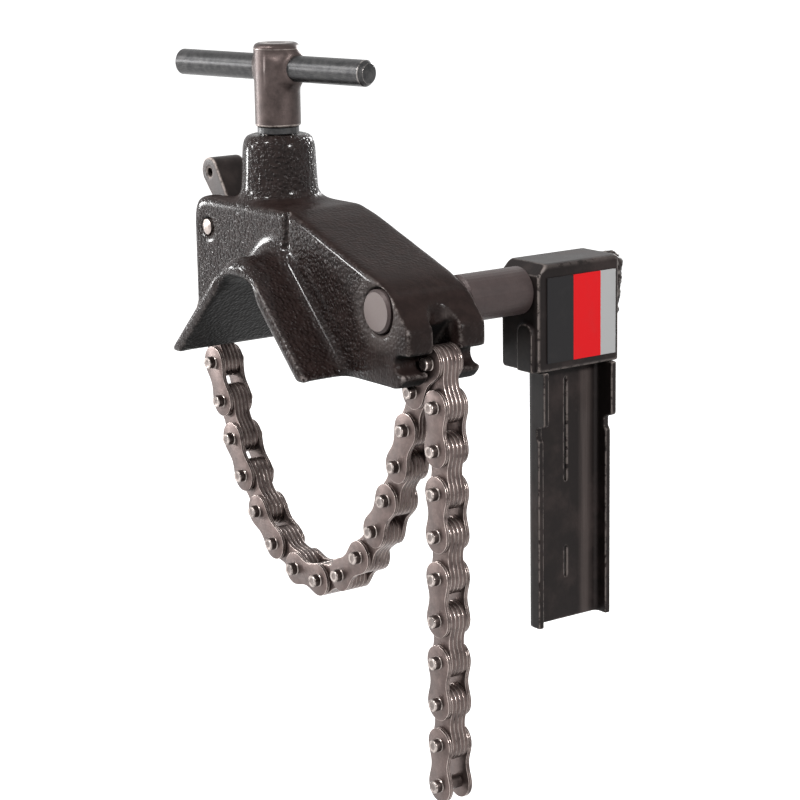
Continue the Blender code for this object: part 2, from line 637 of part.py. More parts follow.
def catenary_headings(start, end, links):
    """Headings of equal hinged links that hang from start to end.

    In a hanging chain of equal links the tangents of the headings rise by equal steps.
    The first tangent and the step are found by Newton's method.
    """
    index = np.arange(links)
    span = np.array(end) - np.array(start)
    low, high = -3.0, 3.0
    values = np.array([low, (high - low) / links])

    def miss(guess):
        angles = np.arctan(guess[0] + guess[1] * index)
        return np.array([PITCH * np.cos(angles).sum(), PITCH * np.sin(angles).sum()]) - span

    small = 1e-6
    for _ in range(60):
        error = miss(values)
        slope = np.column_stack([(miss(values + small * np.eye(2)[k]) - error) / small for k in range(2)])
        values = values - np.linalg.solve(slope, error)
    return np.arctan(values[0] + values[1] * index)


def build_chain(parts, inner, outer, material):
    """The hanging loop from lever to hook, and the tail that hangs from the hooked pin."""
    hook = Vector((HOOK_PIN_X, HOOK_PIN_Z))
    anchor = Vector((PIVOT_X + ANCHOR_X, PIVOT_Z + ANCHOR_Z))
    heading = LAST_LINK_HEADING
    last = hook - PITCH * Vector((math.cos(heading), math.sin(heading)))
    headings = list(catenary_headings(tuple(anchor), tuple(last), LOOP_LINKS - 1)) + [heading]
    pins = [anchor]
    for angle in headings:
        pins.append(pins[-1] + PITCH * Vector((math.cos(angle), math.sin(angle))))
    made = []
    for number in range(LOOP_LINKS):
        first = LOOP_LINKS - number
        start = pins[first]
        angle = headings[first - 1] + math.pi
        source = outer if number % 2 == 0 else inner
        item = bpy.data.objects.new("loop_link_%02d" % (number + 1), source.data)
        item.location = (start.x, 0.0, start.y)
        item.rotation_euler = (0.0, -angle, 0.0)
        made.append(link_into(item, parts))
    start = hook.copy()
    for number in range(TAIL_LINKS):
        angle = -math.pi / 2.0 + (TAIL_LEAN if number == 0 else 0.0)
        source = inner if number % 2 == 0 else outer
        item = bpy.data.objects.new("tail_link_%02d" % (number + 1), source.data)
        item.location = (start.x, 0.0, start.y)
        item.rotation_euler = (0.0, -angle, 0.0)
        made.append(link_into(item, parts))
        start = start + PITCH * Vector((math.cos(angle), math.sin(angle)))
    for item in made:
        item.data.materials.clear()
        item.data.materials.append(material)
    return made


def build_arm(parts, cutters, shaft_steel, black, label_paint, weld_steel):
    """The saw arm: shaft, head block, weld bead, slotted channel and label plate."""
    at = (SHAFT_X, 0.0, SHAFT_Z)
    front = -BODY_HALF_THICKNESS - JOURNAL_PROUD
    shoulder = BODY_HALF_THICKNESS + SEAT_GAP
    back = HEAD_FRONT_Y - SEAT_GAP
    shaft = turned("swing_shaft", [
        (0.0, back),
        (TUBE_RADIUS, back),
        (TUBE_RADIUS, shoulder + JOURNAL_CHAMFER),
        (TUBE_RADIUS - JOURNAL_CHAMFER, shoulder),
        (JOURNAL_RADIUS, shoulder),
        (JOURNAL_RADIUS, front + JOURNAL_CHAMFER),
        (JOURNAL_RADIUS - JOURNAL_CHAMFER, front),
        (0.0, front),
    ], 36, parts, shaft_steel, at=at, along=(-math.pi / 2.0, 0.0, 0.0))
    head_outline = rounded([
        (HEAD_LEFT_X, HEAD_BOTTOM_Z, HEAD_EDGE),
        (HEAD_LEFT_X, HEAD_TOP_Z, HEAD_EDGE),
        (HEAD_RIGHT_X, HEAD_TOP_Z, HEAD_EDGE * 2.0),
        (HEAD_RIGHT_X, HEAD_BOTTOM_Z, HEAD_EDGE),
    ])
    head = slab("head_block", [head_outline], HEAD_FRONT_Y, HEAD_FRONT_Y + HEAD_DEPTH, parts, black, at=at)
    ear_outline = rounded([
        (EAR_LEFT_X, HEAD_BOTTOM_Z, 0.0),
        (EAR_LEFT_X, EAR_TOP_Z, EAR_RADIUS),
        (EAR_LEFT_X + EAR_WIDTH, EAR_TOP_Z, EAR_RADIUS),
        (EAR_LEFT_X + EAR_WIDTH, HEAD_BOTTOM_Z, 0.0),
    ])
    ear = slab("ear_guide", [ear_outline], HEAD_FRONT_Y - EAR_PROUD, HEAD_FRONT_Y + HEAD_CHAMFER, cutters)
    ear.location = at
    boolean(head, as_cutter(ear), "UNION")
    top_cut = slab("head_top_cutter", [[
        (HEAD_TOP_Z, HEAD_FRONT_Y - CUT_OVERRUN),
        (HEAD_TOP_Z + CUT_OVERRUN, HEAD_FRONT_Y - CUT_OVERRUN),
        (HEAD_TOP_Z + CUT_OVERRUN, HEAD_FRONT_Y + HEAD_CHAMFER + CUT_OVERRUN),
        (HEAD_TOP_Z - HEAD_CHAMFER - CUT_OVERRUN, HEAD_FRONT_Y - CUT_OVERRUN),
    ]], HEAD_LEFT_X - CUT_OVERRUN, HEAD_RIGHT_X + CUT_OVERRUN, cutters)
    turn = Matrix(((0.0, 1.0, 0.0), (0.0, 0.0, 1.0), (1.0, 0.0, 0.0))).to_4x4()
    top_cut.data.transform(turn)
    top_cut.location = at
    boolean(head, as_cutter(top_cut), "DIFFERENCE")
    step_low = CHANNEL_STEP_Z - CHANNEL_NOTCH_HEIGHT
    top_z = HEAD_BOTTOM_Z - SEAT_GAP
    wall = rounded([
        (CHANNEL_BACK_X, top_z, 0.0),
        (CHANNEL_BACK_X + CHANNEL_UPPER_DEPTH, top_z, 0.0),
        (CHANNEL_BACK_X + CHANNEL_UPPER_DEPTH, CHANNEL_STEP_Z, EDGE_RADIUS),
        (CHANNEL_BACK_X + CHANNEL_NOTCH_DEPTH, CHANNEL_STEP_Z - EDGE_RADIUS, EDGE_RADIUS),
        (CHANNEL_BACK_X + CHANNEL_NOTCH_DEPTH, step_low, EDGE_RADIUS),
        (CHANNEL_BACK_X + CHANNEL_LOWER_DEPTH, step_low - EDGE_RADIUS, EDGE_RADIUS),
        (CHANNEL_BACK_X + CHANNEL_LOWER_DEPTH, CHANNEL_BOTTOM_Z, 0.0),
        (CHANNEL_BACK_X, CHANNEL_BOTTOM_Z, 0.0),
    ])
    channel_back_y = CHANNEL_FRONT_Y + CHANNEL_WIDTH
    channel = slab("saw_channel", [wall], CHANNEL_FRONT_Y, channel_back_y, parts, black, at=at)
    lips_x = CHANNEL_BACK_X + CHANNEL_UPPER_DEPTH + CUT_OVERRUN
    inner_bend = CHANNEL_BEND - CHANNEL_WALL
    bent = rounded([
        (lips_x, CHANNEL_FRONT_Y, 0.0),
        (CHANNEL_BACK_X, CHANNEL_FRONT_Y, CHANNEL_BEND),
        (CHANNEL_BACK_X, channel_back_y, CHANNEL_BEND),
        (lips_x, channel_back_y, 0.0),
        (lips_x, channel_back_y - CHANNEL_WALL, 0.0),
        (CHANNEL_BACK_X + CHANNEL_WALL, channel_back_y - CHANNEL_WALL, inner_bend),
        (CHANNEL_BACK_X + CHANNEL_WALL, CHANNEL_FRONT_Y + CHANNEL_WALL, inner_bend),
        (lips_x, CHANNEL_FRONT_Y + CHANNEL_WALL, 0.0),
    ])
    plate = slab("channel_plate_guide", [bent], -top_z - CUT_OVERRUN, CUT_OVERRUN - CHANNEL_BOTTOM_Z, cutters)
    plate.data.transform(Matrix.Rotation(-math.pi / 2.0, 4, "X"))
    plate.location = at
    boolean(channel, as_cutter(plate), "INTERSECT")
    middle_y = CHANNEL_FRONT_Y + CHANNEL_WIDTH / 2.0
    for name, slot_top, slot_bottom in (
        ("long_slot_cutter", CHANNEL_SLOT_TOP_Z, CHANNEL_SLOT_BOTTOM_Z),
        ("short_slot_cutter", CHANNEL_SHORT_SLOT_TOP_Z, CHANNEL_SHORT_SLOT_BOTTOM_Z),
    ):
        slot = box(name, (
            CHANNEL_BACK_X - CUT_OVERRUN, middle_y - CHANNEL_SLOT_WIDTH / 2.0, slot_bottom,
        ), (
            CHANNEL_BACK_X + CHANNEL_WALL + CUT_OVERRUN, middle_y + CHANNEL_SLOT_WIDTH / 2.0, slot_top,
        ), cutters)
        slot.location = at
        boolean(channel, as_cutter(slot), "DIFFERENCE")
    label = box("label_plate", (
        HEAD_RIGHT_X + LABEL_GAP, LABEL_FRONT_Y, LABEL_TOP_Z - LABEL_HEIGHT,
    ), (
        HEAD_RIGHT_X + LABEL_GAP + LABEL_THICKNESS, LABEL_FRONT_Y + LABEL_WIDTH, LABEL_TOP_Z,
    ), parts, label_paint)
    label.location = at
    bead = slab("weld_bead", [circle(0.0, 0.0, WELD_RADIUS, FINE_ARC_STEP * 3.0)],
                HEAD_LEFT_X + WELD_INSET, HEAD_RIGHT_X - WELD_INSET, parts, weld_steel)
    bead.data.transform(Matrix.Rotation(-math.pi / 2.0, 4, "Z"))
    bead.location = (SHAFT_X, HEAD_FRONT_Y + HEAD_DEPTH + WELD_RADIUS + SEAT_GAP, SHAFT_Z + HEAD_TOP_Z - WELD_RADIUS)
    return shaft, head, channel, label, bead


def shade_all(parts):
    """Smooth shading with sharp edges kept."""
    for item in parts.objects:
        item.data.shade_smooth()
        item.data.set_sharp_from_angle(angle=35.0 * DEG)


def main():
    """Build the clamp."""
    clear_scene()
    parts = make_collection("pipe_clamp")
    cutters = make_collection("cutters")
    paint = make_material("black_hammer_paint", (0.03, 0.03, 0.032), 0.32, 0.0)
    satin = make_material("satin_black_paint", (0.035, 0.035, 0.038), 0.45, 0.0)
    steel = make_material("warm_grey_steel", (0.42, 0.39, 0.36), 0.38, 1.0)
    dark = make_material("phosphated_steel", (0.09, 0.09, 0.095), 0.5, 0.8)
    bright = make_material("bright_steel", (0.72, 0.71, 0.69), 0.25, 1.0)
    chain = make_material("chain_steel", (0.5, 0.45, 0.42), 0.36, 1.0)
    label = make_material("label_print", (0.55, 0.08, 0.07), 0.45, 0.0)
    build_body(parts, cutters, paint)
    build_screw(parts, cutters, steel, dark, bright)
    build_lever(parts, cutters, satin, bright)
    inner, outer = build_links(parts, cutters, chain)
    build_chain(parts, inner, outer, chain)
    build_arm(parts, cutters, steel, satin, label, dark)
    shade_all(parts)


main()
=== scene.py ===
"""Looks of the chain pipe clamp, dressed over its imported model."""
import json
import logging
import math
from dataclasses import dataclass
from enum import Enum
from typing import Any, Sequence

import bmesh
import bpy
import numpy as np
from mathutils import Matrix, Vector

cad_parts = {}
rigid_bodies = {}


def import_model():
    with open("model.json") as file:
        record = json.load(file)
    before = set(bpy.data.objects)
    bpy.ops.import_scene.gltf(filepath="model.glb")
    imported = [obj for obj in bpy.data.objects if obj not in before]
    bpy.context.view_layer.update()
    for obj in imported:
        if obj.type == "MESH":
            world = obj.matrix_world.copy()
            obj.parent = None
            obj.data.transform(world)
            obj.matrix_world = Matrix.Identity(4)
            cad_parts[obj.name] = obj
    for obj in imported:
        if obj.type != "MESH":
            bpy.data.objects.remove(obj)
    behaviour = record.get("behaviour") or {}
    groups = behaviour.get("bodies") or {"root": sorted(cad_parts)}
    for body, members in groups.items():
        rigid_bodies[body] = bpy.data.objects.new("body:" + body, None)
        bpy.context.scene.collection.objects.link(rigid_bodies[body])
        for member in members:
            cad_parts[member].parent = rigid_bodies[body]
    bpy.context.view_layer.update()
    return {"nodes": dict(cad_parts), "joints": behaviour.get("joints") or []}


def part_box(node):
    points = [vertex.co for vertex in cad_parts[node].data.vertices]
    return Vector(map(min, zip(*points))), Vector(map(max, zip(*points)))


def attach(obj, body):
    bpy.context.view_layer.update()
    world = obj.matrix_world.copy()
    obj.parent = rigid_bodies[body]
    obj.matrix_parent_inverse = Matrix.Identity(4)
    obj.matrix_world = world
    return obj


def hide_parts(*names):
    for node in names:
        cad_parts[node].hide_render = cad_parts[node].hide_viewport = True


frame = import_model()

LOG = logging.getLogger("pipe_clamp")
MM = 0.001
Array = np.ndarray
Point = tuple[float, float, float]
Colour = tuple[float, float, float]
Span = tuple[float, float]


class Socket:
    """A node's output, on which Python arithmetic adds Math nodes."""

    def __init__(self, graph: "Graph", output: Any) -> None:
        """Wrap one output of a node of a graph."""
        self.graph = graph
        self.output = output

    def __getitem__(self, out: Any) -> "Socket":
        """Another output of the same node, by name or number."""
        return Socket(self.graph, self.output.node.outputs[out])

    def _math(self, operation: str, left: Any, right: Any = None) -> "Socket":
        """Add one Math node and return its value."""
        values = {0: left} if right is None else {0: left, 1: right}
        return self.graph.node("ShaderNodeMath", {"operation": operation}, values)

    def __add__(self, other: Any) -> "Socket":
        """Sum."""
        return self._math("ADD", self, other)

    __radd__ = __add__

    def __sub__(self, other: Any) -> "Socket":
        """Difference."""
        return self._math("SUBTRACT", self, other)

    def __rsub__(self, other: Any) -> "Socket":
        """Difference from a number on the left."""
        return self._math("SUBTRACT", other, self)

    def __mul__(self, other: Any) -> "Socket":
        """Product."""
        return self._math("MULTIPLY", self, other)

    __rmul__ = __mul__

    def power(self, other: Any) -> "Socket":
        """This value raised to a power."""
        return self._math("POWER", self, other)

    def absolute(self) -> "Socket":
        """Absolute value."""
        return self._math("ABSOLUTE", self)

    def least(self, other: Any) -> "Socket":
        """The smaller of two values."""
        return self._math("MINIMUM", self, other)

    def most(self, other: Any) -> "Socket":
        """The larger of two values."""
        return self._math("MAXIMUM", self, other)

    def ramp(self, low: float, high: float, start: float = 0.0, end: float = 1.0) -> "Socket":
        """Map low..high to start..end with a soft step, clamped at both."""
        return self.graph.node(
            "ShaderNodeMapRange", {"interpolation_type": "SMOOTHSTEP", "clamp": True},
            {"Value": self, "From Min": low, "From Max": high, "To Min": start, "To Max": end})


class Graph:
    """The shader nodes of a material or a world."""

    def __init__(self, owner: Any) -> None:
        """Give a material or a world its nodes.

        Args:
            owner: The material or world.
        """
        owner.use_nodes = True
        self.owner = owner
        self.tree = owner.node_tree

    @classmethod
    def principled(cls, name: str, **constants: float) -> "Graph":
        """Make a new Principled material.

        Args:
            name: The material's name.
            **constants: Values of Principled sockets, by name with spaces as underscores.

        Returns:
            The material's graph.
        """
        graph = cls(bpy.data.materials.new(name))
        graph.feed(**constants)
        return graph

    def fill(self, made: bpy.types.Node, values: dict[Any, Any]) -> None:
        """Give a node's inputs their values or links.

        Args:
            made: The node.
            values: Values, colours or links, by the input's name or number.
        """
        for key, value in values.items():
            target = made.inputs[key]
            if isinstance(value, Socket):
                self.tree.links.new(value.output, target)
            else:
                target.default_value = (*value, 1.0) if target.type == "RGBA" else value

    def node(self, kind: str, settings: dict[str, Any], values: dict[Any, Any],
             out: Any = 0) -> Socket:
        """Add any node.

        Args:
            kind: The node's type.
            settings: Attributes that are set before the sockets.
            values: Values or links of the inputs, by name or number.
            out: Name or number of the wanted output.

        Returns:
            The wanted output.
        """
        made = self.tree.nodes.new(kind)
        for key, value in settings.items():
            setattr(made, key, value)
        self.fill(made, values)
        return Socket(self, made.outputs[out])

    def place(self, scale: Point = (1.0, 1.0, 1.0), shift: Point = (0.0, 0.0, 0.0)) -> Socket:
        """Object coordinates times a scale, plus a shift."""
        coords = self.node("ShaderNodeTexCoord", {}, {}, "Object")
        return self.node("ShaderNodeMapping", {"vector_type": "POINT"},
                         {"Vector": coords, "Scale": scale, "Location": shift})

    def axes(self, vector: Socket) -> tuple[Socket, Socket, Socket]:
        """The three components of a vector."""
        split = self.node("ShaderNodeSeparateXYZ", {}, {0: vector})
        return split, split[1], split[2]

    def noise(self, vector: Socket, scale: float, detail: float = 4.0,
              rough: float = 0.55) -> Socket:
        """Fractal noise of 0 to 1, with scale in blobs per metre and detail in octaves."""
        return self.node("ShaderNodeTexNoise", {}, {
            "Vector": vector, "Scale": scale, "Detail": detail, "Roughness": rough})

    def cells(self, vector: Socket, scale: float) -> Socket:
        """Soft distance to the nearest of scattered points, with scale in points per metre."""
        return self.node("ShaderNodeTexVoronoi", {"feature": "SMOOTH_F1"},
                         {"Vector": vector, "Scale": scale})

    def mix(self, factor: Any, first: Any, second: Any) -> Socket:
        """Blend two colours or links, where factor 0 gives first and 1 gives second."""
        return self.node("ShaderNodeMix", {"data_type": "RGBA"},
                         {0: factor, 6: first, 7: second}, 2)

    def edges(self, low: float, high: float) -> Socket:
        """Mask of convex edges from the mesh's pointiness."""
        return self.node("ShaderNodeNewGeometry", {}, {}, "Pointiness").ramp(low, high)

    def rims(self) -> Socket:
        """Mask of bevel faces, from the attribute that put_mesh stores."""
        settings = {"attribute_type": "GEOMETRY", "attribute_name": "rim"}
        return self.node("ShaderNodeAttribute", settings, {}, "Fac")

    def facing(self) -> tuple[Socket, Socket, Socket]:
        """Components of the surface normal in the part's own frame."""
        return self.axes(self.node("ShaderNodeTexCoord", {}, {}, "Normal"))

    def seen(self) -> Socket:
        """1 for camera, glossy and transmission rays, 0 for the rest."""
        camera = self.node("ShaderNodeLightPath", {}, {}, "Is Camera Ray")
        return camera.most(camera["Is Glossy Ray"]).most(camera["Is Transmission Ray"])

    def bump(self, height: Socket, depth: float, strength: float = 1.0) -> Socket:
        """Normal bent by a height of 0 to 1 that is depth metres deep."""
        return self.node("ShaderNodeBump", {},
                         {"Height": height, "Distance": depth, "Strength": strength})

    def feed(self, **values: Any) -> bpy.types.Material:
        """Give the Principled shader values or links.

        Args:
            **values: Values by socket name, with spaces as underscores.

        Returns:
            The material.
        """
        shader = self.tree.nodes["Principled BSDF"]
        self.fill(shader, {key.replace("_", " "): value for key, value in values.items()})
        return self.owner


@dataclass(frozen=True)
class HammerPaint:
    """Glossy black paint with a pebbled skin on the casting's sides, smoother on top and nose, with
    painted shade on the faces that look down.
    """

    deep: Colour = (0.0125, 0.0078, 0.0070)
    warm: Colour = (0.0190, 0.0120, 0.0108)
    worn: Colour = (0.30, 0.26, 0.245)
    # Near-black colour of the painted shade on faces that look down.
    underside_painted_shade: Colour = (0.004, 0.005, 0.005)
    pebble: float = 820.0
    depth: float = 0.00068
    coat: float = 0.20
    top_half: Span = (0.0185, 0.0170)
    lip_y: Span = (0.0358, 0.0366)
    nose_x: Span = (0.050, 0.062)
    nose_z: Span = (-0.038, -0.030)
    boss_z: Span = (0.0265, 0.0300)
    shaft_x: float = 0.064
    shaft_z: float = -0.005
    ground_radius: Span = (0.0165, 0.01188)

    def build(self) -> bpy.types.Material:
        """Make the material.

        Returns:
            The material.
        """
        g = Graph.principled("hammer_paint", Metallic=0.0, Coat_Roughness=0.13,
                             Specular_IOR_Level=0.06)
        here = g.place()
        x, y, z = g.axes(here)
        _, face_y, face_z = g.facing()
        side = face_y.absolute().ramp(0.25, 0.7)
        wide = y.absolute()
        top = face_z.ramp(0.35, 0.75) * wide.ramp(*self.top_half)
        lip = wide.ramp(*self.lip_y) * side
        under = (face_z * -1.0).ramp(0.3, 0.7)
        off_x, off_z = x - self.shaft_x, z - self.shaft_z
        ground = (off_x * off_x + off_z * off_z).power(0.5).ramp(*self.ground_radius) * side
        right = x.ramp(*self.nose_x) * z.ramp(*self.nose_z)
        boss = z.ramp(*self.boss_z)
        wob = g.noise(here, 240.0, 3.0)
        blobs = g.cells(here, self.pebble)
        fine = g.noise(here, 2100.0, 3.0)
        skin = (1.0 - blobs.ramp(0.02, 0.72)) * 0.9 + wob * 0.35
        plain = ((1.0 - top * 0.88 * (1.0 - boss)) * (1.0 - right * 0.72) * (1.0 - under * 0.75)
                 * (1.0 - lip * 0.8))
        height = skin * plain + fine * 0.05
        grain = g.noise(g.place((2600.0, 500.0, 60.0)), 1.0, 3.0)
        lines = (grain - 0.5) * right * side * 0.22
        rough = (0.22 + top * 0.20 * (1.0 - boss) + right * 0.16 + under * 0.2
                 + (wob - 0.5) * 0.14)
        edge = g.edges(0.512, 0.55)
        chips = g.noise(here, 520.0, 5.0, 0.7).ramp(0.44, 0.60)
        scuff = g.noise(g.place((190.0, 190.0, 190.0), (3.0, 1.0, 2.0)), 1.0, 6.0, 0.75)
        scuff = scuff.ramp(0.66, 0.76) * top
        wear = (edge * chips * 0.55 + ground * 0.10 + right * side * grain.ramp(0.55, 0.8) * 0.10
                + scuff * 0.10).least(1.0)
        tone = g.mix(wob.ramp(0.35, 0.7), self.deep, self.warm)
        # Painted shade: faces that look down, such as the inside of the saddle's V, are blended
        # towards a near-black tone.
        tone = g.mix(under * 0.8, tone, self.underside_painted_shade)
        tone = g.mix(wear, tone, self.worn)
        coat = self.coat * (1.0 - right * 0.7) * (1.0 - top * (1.0 - boss)) * (1.0 - under)
        return g.feed(Base_Color=tone, Roughness=rough, Coat_Weight=coat,
                      Normal=g.bump(height + lines, self.depth))


@dataclass(frozen=True)
class SatinPaint:
    """Thin satin black paint with dust, worn on its edges, and with a painted sheen in a band of
    equal y.
    """

    name: str = "satin_black"
    deep: Colour = (0.013, 0.0100, 0.0096)
    dust: Colour = (0.040, 0.0300, 0.0280)
    worn: Colour = (0.24, 0.205, 0.19)
    roughness: float = 0.40
    rub: float = 0.75
    band_middle: float = 0.0775
    band_half: float = 0.0042
    band: float = 0.0
    # Colour of the painted sheen band, a painted highlight.
    painted_sheen_tone: Colour = (0.115, 0.092, 0.086)

    def build(self) -> bpy.types.Material:
        """Make the material.

        Returns:
            The material.
        """
        g = Graph.principled(self.name, Metallic=0.0, Specular_IOR_Level=0.10)
        here = g.place()
        cloud = g.noise(here, 70.0, 5.0, 0.6)
        long_marks = g.noise(g.place((900.0, 900.0, 22.0)), 1.0, 4.0, 0.6)
        speck = g.noise(here, 1300.0, 3.0)
        edge = g.edges(0.507, 0.54)
        chips = g.noise(here, 330.0, 5.0, 0.7).ramp(0.38, 0.54)
        scratches = long_marks.ramp(0.66, 0.74) * cloud.ramp(0.45, 0.6)
        wear = (edge * chips * self.rub + scratches * 0.08).least(1.0)
        _, y, _ = g.axes(here)
        # Painted sheen: a lighter band about band_middle stands in for a soft highlight on the
        # channel's web.
        away = (y - self.band_middle).absolute()
        painted_sheen = away.ramp(self.band_half, self.band_half * 0.15) * long_marks.ramp(0.1, 0.6)
        dusty = cloud.ramp(0.42, 0.72) * 0.7 + speck.ramp(0.6, 0.75) * 0.15
        tone = g.mix(dusty, self.deep, self.dust)
        tone = g.mix(painted_sheen * self.band, tone, self.painted_sheen_tone)
        tone = g.mix(wear, tone, self.worn)
        rough = self.roughness + (cloud - 0.5) * 0.3 + (speck - 0.5) * 0.12
        height = speck * 0.5 + long_marks * 0.35 + cloud * 0.4
        return g.feed(Base_Color=tone, Roughness=rough, Normal=g.bump(height, 0.00012, 0.55))


@dataclass(frozen=True)
class TurnedSteel:
    """Steel with a thin oxide skin, mottling, turning lines, pale worn bevels that also carry a
    painted highlight, and flat ends facing ±Y painted paler as a painted highlight.
    """

    name: str
    light: Colour
    dark: Colour
    pale_bevel_and_highlight_tone: Colour
    roughness: float = 0.42
    metallic: float = 0.85
    mottle: float = 260.0
    lines: Point = (0.0, 0.0, 0.0)
    depth: float = 0.00008
    contrast: float = 1.0
    end_highlight: float = 0.0

    def build(self) -> bpy.types.Material:
        """Make the material.

        Returns:
            The material.
        """
        g = Graph.principled(self.name, Specular_IOR_Level=0.3)
        here = g.place()
        cloud = g.noise(here, self.mottle, 5.0, 0.62)
        fine = g.noise(here, self.mottle * 7.0, 3.0)
        edge = g.rims()
        _, face_y, _ = g.facing()
        # Painted highlight: faces that look along ±Y are painted paler, as light from the front
        # brightens the flat ends.
        ends = face_y.absolute().ramp(0.93, 0.985) * self.end_highlight
        spread = 0.22 / self.contrast
        tone = g.mix(cloud.ramp(0.5 - spread, 0.5 + spread), self.dark, self.light)
        tone = g.mix(fine.ramp(0.35, 0.65) * 0.25, tone, self.dark)
        # Bevels take the pale tone in patches, as wear and as a painted highlight on the rims; the
        # ±Y ends take it as a painted highlight.
        tone = g.mix((edge * cloud.ramp(0.3, 0.55) * 0.8).most(ends), tone, self.pale_bevel_and_highlight_tone)
        rough = self.roughness + (cloud - 0.5) * 0.22 + (fine - 0.5) * 0.1 - edge * 0.08
        height = cloud * 0.6 + fine * 0.4
        if any(self.lines):
            rings = g.noise(g.place(self.lines), 1.0, 3.0)
            height = height + rings * 0.8
            rough = rough + (rings - 0.5) * 0.12
        metal = self.metallic - cloud.ramp(0.55, 0.8) * 0.1
        return g.feed(Base_Color=tone, Roughness=rough, Metallic=metal,
                      Normal=g.bump(height, self.depth, 0.7))


@dataclass(frozen=True)
class LabelPrint:
    """A bare printed plate: a dark, a red and a pale grey band, with scuffs and no writing."""

    first_edge: float = 0.0634
    second_edge: float = 0.0766
    dark: Colour = (0.020, 0.019, 0.020)
    red: Colour = (0.70, 0.014, 0.018)
    pale: Colour = (0.43, 0.43, 0.43)
    dust: Colour = (0.10, 0.09, 0.085)
    blur: float = 0.00005

    def build(self) -> bpy.types.Material:
        """Make the material.

        Returns:
            The material.
        """
        g = Graph.principled("label_print", Metallic=0.0, Specular_IOR_Level=0.10)
        here = g.place()
        _, y, _ = g.axes(here)
        cloud = g.noise(here, 160.0, 4.0)
        speck = g.noise(here, 1500.0, 3.0, 0.7).ramp(0.63, 0.72)
        first = y.ramp(self.first_edge - self.blur, self.first_edge + self.blur)
        second = y.ramp(self.second_edge - self.blur, self.second_edge + self.blur)
        tone = g.mix(first, self.dark, self.red)
        tone = g.mix(second, tone, self.pale)
        tone = g.mix(cloud.ramp(0.5, 0.8) * 0.06 + speck * 0.08, tone, self.dust)
        return g.feed(Base_Color=tone, Roughness=0.46 + (cloud - 0.5) * 0.2,
                      Normal=g.bump(cloud * 0.5 + speck * 0.5, 0.00005, 0.5))


@dataclass(frozen=True)
class PaleStage:
    """Matt floor with its shadow, pale to camera, glossy and transmission rays, grey to others."""

    seen_shade: Colour = (0.80, 0.80, 0.80)
    hidden_shade: Colour = (0.16, 0.16, 0.16)
    glow_near: float = 0.42
    glow_far: float = 1.0
    near: float = 0.35
    far: float = 1.6

    def build(self) -> bpy.types.Material:
        """Make the material.

        Returns:
            The material.
        """
        g = Graph.principled("pale_floor", Metallic=0.0, Roughness=0.9, Emission_Strength=1.0,
                             Specular_IOR_Level=0.0)
        here = g.place()
        x, y, _ = g.axes(here)
        distance = (x * x + y * y).power(0.5)
        glow = distance.ramp(self.near, self.far, self.glow_near, self.glow_far)
        seen = g.seen()
        cloud = g.noise(here, 3.0, 2.0)
        pale = g.mix(cloud, self.seen_shade, tuple(c * 1.01 for c in self.seen_shade))
        black = (0.0, 0.0, 0.0)
        light = g.mix(glow * seen, black, (1.0, 1.0, 1.0))
        return g.feed(Base_Color=g.mix(seen, self.hidden_shade, pale), Emission_Color=light)


class Finish(Enum):
    """The named finishes."""

    HAMMER = HammerPaint()
    SATIN = SatinPaint()
    # Paler edge wear at full strength: partly wear, and partly a painted highlight along the
    # lever's outline.
    LEVER = SatinPaint(name="lever_black", deep=(0.026, 0.020, 0.019), dust=(0.075, 0.058, 0.054),
                       worn=(0.42, 0.36, 0.33), roughness=0.34, rub=1.0)
    # The channel's band paints a soft highlight on its web as a lighter stripe.
    CHANNEL = SatinPaint(name="channel_black", band=0.55)
    BAR = TurnedSteel("bar_steel", (0.060, 0.058, 0.058), (0.022, 0.022, 0.023),
                      (0.24, 0.22, 0.21), 0.36, 0.55, 420.0)
    HUB = TurnedSteel("hub_steel", (0.082, 0.061, 0.057), (0.040, 0.030, 0.028),
                      (0.30, 0.26, 0.24), 0.40, 0.70, 240.0, (60.0, 60.0, 2400.0), contrast=0.7)
    # The shaft's flat ends are painted paler as a painted highlight.
    SHAFT = TurnedSteel("shaft_steel", (0.062, 0.044, 0.042), (0.040, 0.029, 0.028),
                        (0.20, 0.165, 0.155), 0.50, 0.30, 170.0, (60.0, 2200.0, 60.0),
                        contrast=0.6, end_highlight=0.4)
    BRIGHT = TurnedSteel("bright_steel", (0.36, 0.31, 0.285), (0.25, 0.21, 0.195),
                         (0.50, 0.45, 0.42), 0.34, 0.8, 500.0)
    PLATE = TurnedSteel("chain_plate_steel", (0.140, 0.104, 0.095), (0.068, 0.050, 0.046),
                        (0.50, 0.43, 0.40), 0.40, 0.80, 260.0, contrast=0.7)
    # The pins' flat ends are painted paler as a painted highlight.
    PIN = TurnedSteel("chain_pin_steel", (0.096, 0.074, 0.068), (0.050, 0.039, 0.036),
                      (0.40, 0.35, 0.325), 0.38, 0.80, 400.0, contrast=0.7, end_highlight=0.20)
    WELD = SatinPaint(name="weld_paint", deep=(0.019, 0.015, 0.0145), dust=(0.052, 0.042, 0.040),
                      worn=(0.30, 0.27, 0.25), roughness=0.42, rub=0.6)
    LABEL = LabelPrint()


MATERIALS: dict[Finish, bpy.types.Material] = {}


def paint(mesh: bpy.types.Mesh, finish: Finish) -> None:
    """Give a mesh one finish."""
    mesh.materials.clear()
    mesh.materials.append(MATERIALS[finish])


def dress(node: str, finish: Finish) -> None:
    """Give a CAD node a finish."""
    paint(frame["nodes"][node].data, finish)


def add_object(name: str, data: Any) -> Any:
    """Add an object to the scene.

    Args:
        name: The object's name.
        data: Its mesh, lamp or camera.

    Returns:
        The object.
    """
    item = bpy.data.objects.new(name, data)
    bpy.context.scene.collection.objects.link(item)
    return item


